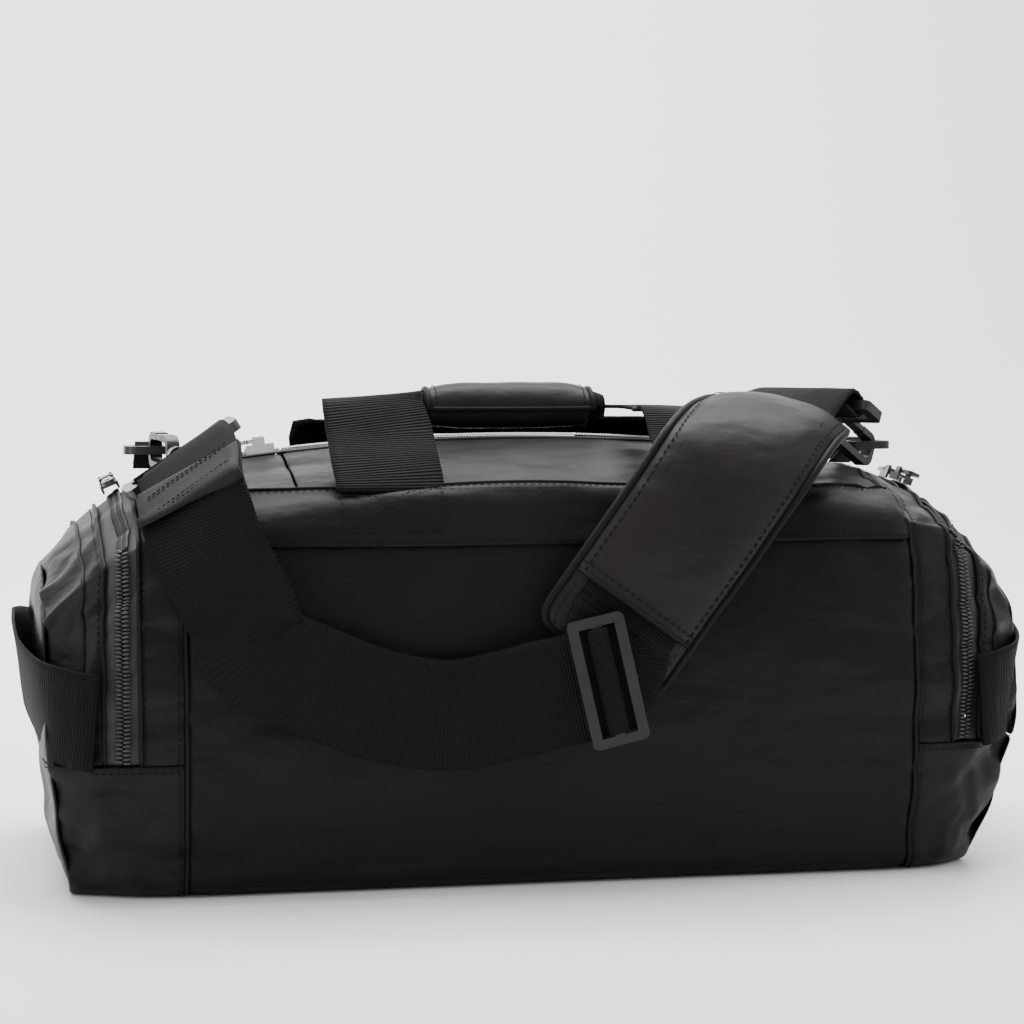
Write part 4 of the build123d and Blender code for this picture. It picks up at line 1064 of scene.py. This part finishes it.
frames = pad_frames(PAD_RUN)
total = frames[-1][4]
rows = []
for frame_at in frames:
    row = []
    near = ease(min(frame_at[4], total - frame_at[4]), -2.0, 9.0)
    for k in range(40):
        angle = 2 * math.pi * k / 40
        c, s = math.cos(angle), math.sin(angle)
        part = math.copysign(abs(c) ** 0.55, c)
        puff = (1 - abs(part) ** 5) ** 0.6 * (0.35 + 0.65 * near)
        soft = noise.noise(Vector((frame_at[4] * 0.05, part * 1.5, 3.0))) * 0.7
        height = -5.6 + (3.8 * puff + 0.5 + soft * puff) * math.copysign(1.0, s) * abs(s) ** 0.3
        row.append(pad_point(frame_at, total, part, height))
    rows.append(row)
pad = grid("pad_cushion", rows, closed=True)
close_ends(pad)
subdivide(pad)
finish_piece(pad, nylon_pad_painted_sheen, "strap", "nylon", "shoulder_pad")

# outer sleeve that the webbing runs in, sewn down along both edges
MOUTH_AT = 27.0
rows = []
for frame_at in frames:
    if frame_at[4] < MOUTH_AT:
        continue
    row = []
    lift = 1.0 + 0.35 * ease(MOUTH_AT + 8.0 - frame_at[4], 0.0, 8.0)
    for k in range(25):
        part = k / 12.0 - 1.0
        crown = (1 - abs(part) ** 3.2) ** 0.8
        soft = noise.noise(Vector((frame_at[4] * 0.035, part * 1.2, 8.0))) * 1.0
        crimp = noise.noise(Vector((frame_at[4] * 0.16, part * 0.8, 1.0))) * 0.8 * abs(part) ** 3
        height = -4.6 + 8.3 * crown * lift + (soft + crimp) * (0.3 + crown * 0.7)
        row.append(pad_point(frame_at, total, part * 0.985, height))
    rows.append(row)
sleeve_rows = rows
sleeve = grid("pad_sleeve", rows)
face_outward(sleeve, (60, 0, 120))
thicken(sleeve, 1.2)
subdivide(sleeve)
finish_piece(sleeve, nylon_pad_painted_sheen, "strap", "nylon")
loop_rim = [pad_point(f, total, 1.0, -4.8) for f in frames[1:]]
other_rim = [pad_point(f, total, -1.0, -4.8) for f in frames[1:]]
rim = [pad_point(frames[0], total, p, -5.2) for p in (-0.6, -0.2, 0.2, 0.6)]
tail = [pad_point(frames[-1], total, p, -5.2) for p in (0.6, 0.2, -0.2, -0.6)]
border = curve_points(list(reversed(other_rim)) + rim + loop_rim + tail + [other_rim[-1]], 3.0)
finish_piece(tube("pad_binding", border, 1.9, sides=10), binding, "strap", "nylon")
finish_piece(tube("sleeve_mouth", rows[0], 1.0), binding, "strap", "nylon")
rows = []
for k in (1, 23):
    beside = 2 if k == 1 else k - 1
    run = []
    for row, frame_at in zip(sleeve_rows[:-1], frames[len(frames) - len(sleeve_rows):]):
        run.append((row[k].lerp(row[beside], 0.35) + frame_at[3] * 0.5, frame_at[3]))
    rows.append(run)
rows.append([(p + frames[7][3] * 0.8, frames[7][3]) for p in sleeve_rows[1]])
low_edge = [f for f in frames if f[4] < MOUTH_AT]
for part in (-0.86, 0.86):
    rows.append([(pad_point(f, total, part, -1.6), f[3]) for f in low_edge[1:]])
finish_piece(stitches("pad_stitches", rows, 3.9, 2.5, 0.42), thread, "strap", "nylon")

# ---------------------------------------------------------------- carry handles
HANDLE_X = 77.0
GRIP_Y, GRIP_Z = 20.0, 220.0
REAR_Y, REAR_Z = 60.0, 213.0
ARM_END = 49.0               # half of the grip's length, where the webbing has rolled up


HANDLE_FOOT = ((99.5, 183.5), (95.5, 189.8))      # half-depth and height where the webbing leaves the yoke
# how far inwards, the shares of the run and of the rise, the webbing's width direction, and its width
ARM_ROLL = ((4, 0.3, 0.5, (1, 0.1), 40), (6, 0.55, 0.8, (1, 0.25), 32), (12, 0.8, 1.0, (0.8, 0.6), 25),
            (20, 0.94, 1.0, (0.4, 0.9), 20))


def handle_arm(name, sign, way, slope, fold, grip, grip_half):
    """Webbing from the yoke over the top, rolling into one end of the grip."""
    gy, gz = grip
    fy, fz = fold
    foot_x = sign * HANDLE_X
    ahead = 1.0 if gy > fy else -1.0
    run, rise = abs(gy - fy), gz - fz
    stations = [((foot_x, way * y, z), (sign, 0, 0), WEB) for y, z in HANDLE_FOOT]
    stations += [((foot_x - 1, y, z), (sign, 0, -0.04), WEB) for y, z in slope]
    stations.append(((foot_x - 3, fy, fz), (sign, 0, -0.1), WEB - 3))
    for inward, part, lift, (wx, wy), width in ARM_ROLL:
        stations.append(((sign * (HANDLE_X - inward), fy + ahead * run * part, fz + rise * lift),
                         (sign * wx, ahead * wy, 0), width))
    stations.append(((sign * grip_half, gy, gz), (0, ahead, 0), 17.0))
    piece, _ = strip(name, stations, WEB)
    return piece


def grip_roll(name, y, z, body, *nodes):
    rows, uvs = [], []
    for x in spread(-50.0, 50.0, 4.0):
        slim = 1.0 - 0.25 * ease(abs(x), 44.0, 50.0)
        row = []
        for k in range(24):
            angle = 2 * math.pi * k / 24
            row.append(Vector((x, y + 9.0 * slim * math.cos(angle), z + 8.0 * slim * math.sin(angle))))
            uvs.append((k / 24 * 0.05, x * MM))
        rows.append(row)
    piece = grid(name, rows, uvs=uvs, closed=True)
    close_ends(piece)
    return finish_piece(piece, webbing, body, "webbing", *nodes)


for word, sign in ENDS:
    fold = (-58.0, 226.0 if sign < 0 else 219.0)
    arm = handle_arm("front_arm_" + word, sign, -1.0, ((-87.0, 199.0), (-74.0, 208.5)), fold, (GRIP_Y, GRIP_Z),
                     ARM_END)
    arm.data.materials.append(webbing)
    if sign < 0:
        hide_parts("front_handle_legs")
    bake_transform(arm)
    arm = handle_arm("rear_arm_" + word, sign, 1.0, ((92.5, 199.0),), (86.0, 208.5), (REAR_Y, REAR_Z),
                     ARM_END)
    arm.data.materials.append(webbing)
    if sign < 0:
        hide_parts("rear_handle_patches")
    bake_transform(arm)
grip_roll("front_roll", GRIP_Y, GRIP_Z, "front_grip", "front_handle_grip")
grip_roll("rear_roll", REAR_Y, REAR_Z, "rear_grip", "rear_handle")

# padded wrap round the front grip, and its bound flap
WRAP_HALF = 42.0
rows = []
for x in spread(-WRAP_HALF, WRAP_HALF, 3.0):
    plump = 1.0 - 0.16 * (abs(x) / WRAP_HALF) ** 4
    row = []
    for k in range(32):
        angle = 2 * math.pi * k / 32
        soft = noise.noise(Vector((x * 0.06, math.cos(angle) * 1.5, math.sin(angle) * 1.5))) * 0.5
        row.append(Vector((x, GRIP_Y + (12.0 + soft) * plump * math.cos(angle),
                           GRIP_Z + (11.0 + soft) * plump * math.sin(angle))))
    rows.append(row)
wrap = grid("handle_wrap", rows, closed=True)
close_ends(wrap)
subdivide(wrap)
finish_piece(wrap, nylon_pad_painted_sheen, "front_grip", "nylon", "grip_wrap")


def flap_point(x, angle, lift=0.0):
    edge = 1.0 - 0.26 * (abs(x) / WRAP_HALF) ** 5
    soft = noise.noise(Vector((x * 0.05, angle * 1.2, 6.0))) * 0.6
    return Vector((x, GRIP_Y + (13.8 + lift + soft) * math.cos(angle),
                   GRIP_Z + (12.6 + lift + soft) * math.sin(angle) * edge))


FLAP_START, FLAP_END = math.radians(2.0), math.radians(184.0)
angles = spread(FLAP_START, FLAP_END, 0.12)
rows = [[flap_point(x, a) for a in angles] for x in spread(-WRAP_HALF, WRAP_HALF, 3.0)]
flap = grid("wrap_flap_cloth", rows)
face_outward(flap, (0, GRIP_Y, GRIP_Z))
thicken(flap, 1.4)
subdivide(flap)
finish_piece(flap, nylon_pad_painted_sheen, "wrap_flap", "nylon", "grip_wrap_flap")
rim = [flap_point(-WRAP_HALF, a) for a in angles]
rim += [flap_point(x, FLAP_END) for x in spread(-39, 39, 6.0)]
rim += [flap_point(WRAP_HALF, a) for a in reversed(angles)]
rim += [flap_point(x, FLAP_START) for x in spread(39, -39, 6.0)] + [flap_point(-WRAP_HALF, FLAP_START)]
finish_piece(tube("wrap_flap_binding", curve_points(rim, 2.5), 1.3), binding, "wrap_flap", "nylon")
rows = []
for x in (-38.0, 38.0):
    rows.append([(flap_point(x, a, 0.5), Vector((0, math.cos(a), math.sin(a)))) for a in angles])
finish_piece(stitches("wrap_flap_stitches", rows, 3.2, 2.1), thread, "wrap_flap", "nylon")

# cross-stitched boxes that hold the handles under the yoke bands
for word, way in FACES:
    rows = []
    for sign in (-1.0, 1.0):
        x0, x1 = sorted((sign * (HANDLE_X - 23), sign * (HANDLE_X + 23)))
        high, low = way * (fold_u(HANDLE_X) + 0.055), line(YOKE_Z + 3.0, way)
        corners = [(x0, high), (x1, high), (x1, low(x1)), (x0, low(x0)), (x0, high)]
        cross = [((x0, high), (x1, low(x1))), ((x1, high), (x0, low(x0)))]
        for (xa, ua), (xb, ub) in list(zip(corners, corners[1:])) + cross:
            run = [(xa + (xb - xa) * t, ua + (ub - ua) * t) for t in spread(0.0, 1.0, 0.12)]
            rows.append(seam_run(run, 2.1))
    finish_piece(stitches(word + "_box_stitches", rows, 3.0, 2.1), thread, "bag", "nylon")

# grab handles across the ends: how far in from the reach, y, z and the outward lean
GRAB_STATIONS = ((33, -117.0, 83, 0.02), (25, -114.5, 84, 0.08), (11, -99.0, 88, 0.14), (3, -62.0, 95, 0.2),
                 (0, 0.0, 100, 0.12), (3, 62.0, 97, 0.2), (11, 99.0, 92, 0.14), (25, 114.5, 88, 0.08),
                 (33, 117.0, 87, 0.02))
GRAB_REACH = {"left": 245.0, "right": 236.0}
for word, sign in ENDS:
    stations = [((sign * (GRAB_REACH[word] - inward), y, z), (sign * lean, 0, 1))
                for inward, y, z, lean in GRAB_STATIONS]
    band, _ = strip(word + "_grab", stations, WEB - 6.0)
    finish_piece(band, webbing, word + "_end", "webbing", word + "_grab_handle")
    rows = []
    for way in (-1.0, 1.0):
        out = Vector((0, way, 0))
        rows.append([(Vector((sign * 218.0, way * 117.8, z)), out) for z in spread(68, 100, 8.0)])
    finish_piece(stitches(word + "_grab_stitches", rows, 2.6, 1.9), thread, word + "_end", "webbing")

# webbing tabs that hold the D-rings, round the wire: y and z from its middle
TAB_ROUND = ((26, -10.6), (14, -6.0), (4.0, -2.4), (0.0, -2.9), (-2.3, -1.8), (-2.9, 0.0), (-2.0, 2.2),
             (0.0, 2.9), (3.0, 2.6), (12, -2.5), (26, -8.6))
for word, sign in ENDS:
    stations = [((sign * RING_X, RING_Y + dy, RING_Z + dz), (sign, 0, 0)) for dy, dz in TAB_ROUND]
    tab, _ = strip(word + "_ring_tab", stations, 11.5, thick=0.9, step=1.2)
    finish_piece(tab, webbing, "bag", "webbing", *(["ring_tabs"] if sign < 0 else []))

# ---------------------------------------------------------------- kept hardware
FINISHES = {"left_hook_loop": black_metal, "tri_glide": black_plastic, "base_board": board_finish}
for side, ring_finish in (("left", grey_metal), ("right", black_plastic)):
    FINISHES.update({side + "_slider": silver, side + "_slider_pull": silver, side + "_d_ring": ring_finish,
                     side + "_hook": ring_finish, side + "_hook_gate": ring_finish})
    for tag, _ in FACES:
        FINISHES[side + "_end_slider_" + tag] = black_metal
        FINISHES[side + "_end_slider_" + tag + "_pull"] = black_metal
FINISHES["right_hook_loop"] = black_plastic
SOFT_EDGE = {"tri_glide": 0.0009, "base_board": 0.001}
for node, finish in FINISHES.items():
    thing = frame["nodes"][node]
    for index in range(len(thing.material_slots)):
        thing.material_slots[index].link = "OBJECT"
        thing.material_slots[index].material = finish
    edge = thing.modifiers.new("worn_edge", "BEVEL")
    edge.width = SOFT_EDGE.get(node, 0.00035)
    edge.segments = 3
    edge.limit_method = "ANGLE"
    edge.angle_limit = math.radians(35.0)

# ---------------------------------------------------------------- floor and light
FLOOR_HALF, FLOOR_FRONT, SWEEP_START, SWEEP_RADIUS, WALL_TOP = 3500.0, -2600.0, 1500.0, 900.0, 3500.0
profile = [(y, -0.2) for y in spread(FLOOR_FRONT, SWEEP_START, 200.0)]
for k in range(1, 13):
    angle = k / 12 * math.pi / 2
    profile.append((SWEEP_START + SWEEP_RADIUS * math.sin(angle),
                    SWEEP_RADIUS - SWEEP_RADIUS * math.cos(angle)))
profile.append((SWEEP_START + SWEEP_RADIUS, WALL_TOP))
floor_rows = [[Vector((x, y, z)) for x in (-FLOOR_HALF, 0.0, FLOOR_HALF)] for y, z in profile]
floor = grid("floor", floor_rows)
floor_material = bpy.data.materials.new("pale_floor")
floor_material.use_nodes = True
floor_shader = floor_material.node_tree.nodes["Principled BSDF"]
floor_shader.inputs["Base Color"].default_value = (0.86, 0.86, 0.865, 1)
floor_shader.inputs["Roughness"].default_value = 0.55
floor.data.materials.append(floor_material)


def area_light(name, place, target, size, power):
    data = bpy.data.lights.new(name, "AREA")
    data.shape = "RECTANGLE"
    data.size, data.size_y = size
    data.energy = power
    lamp = bpy.data.objects.new(name, data)
    bpy.context.collection.objects.link(lamp)
    lamp.location = place
    lamp.rotation_euler = (Vector(target) - Vector(place)).to_track_quat("-Z", "Y").to_euler()


area_light("overhead", (0.0, 0.25, 1.7), (0, 0, 0.1), (1.8, 1.3), 60.0)
area_light("left_soft", (-1.7, -0.8, 0.9), (0, 0, 0.12), (0.9, 1.3), 16.0)
area_light("right_soft", (1.6, -0.7, 1.0), (0, 0, 0.12), (0.9, 1.2), 9.0)
area_light("backdrop", (0.0, 0.9, 1.9), (0, 2.2, 0.6), (2.4, 0.8), 90.0)
world = bpy.data.worlds.new("studio")
world.use_nodes = True
world.node_tree.nodes["Background"].inputs["Color"].default_value = (0.93, 0.95, 1.0, 1)
world.node_tree.nodes["Background"].inputs["Strength"].default_value = 0.75
bpy.context.scene.world = world
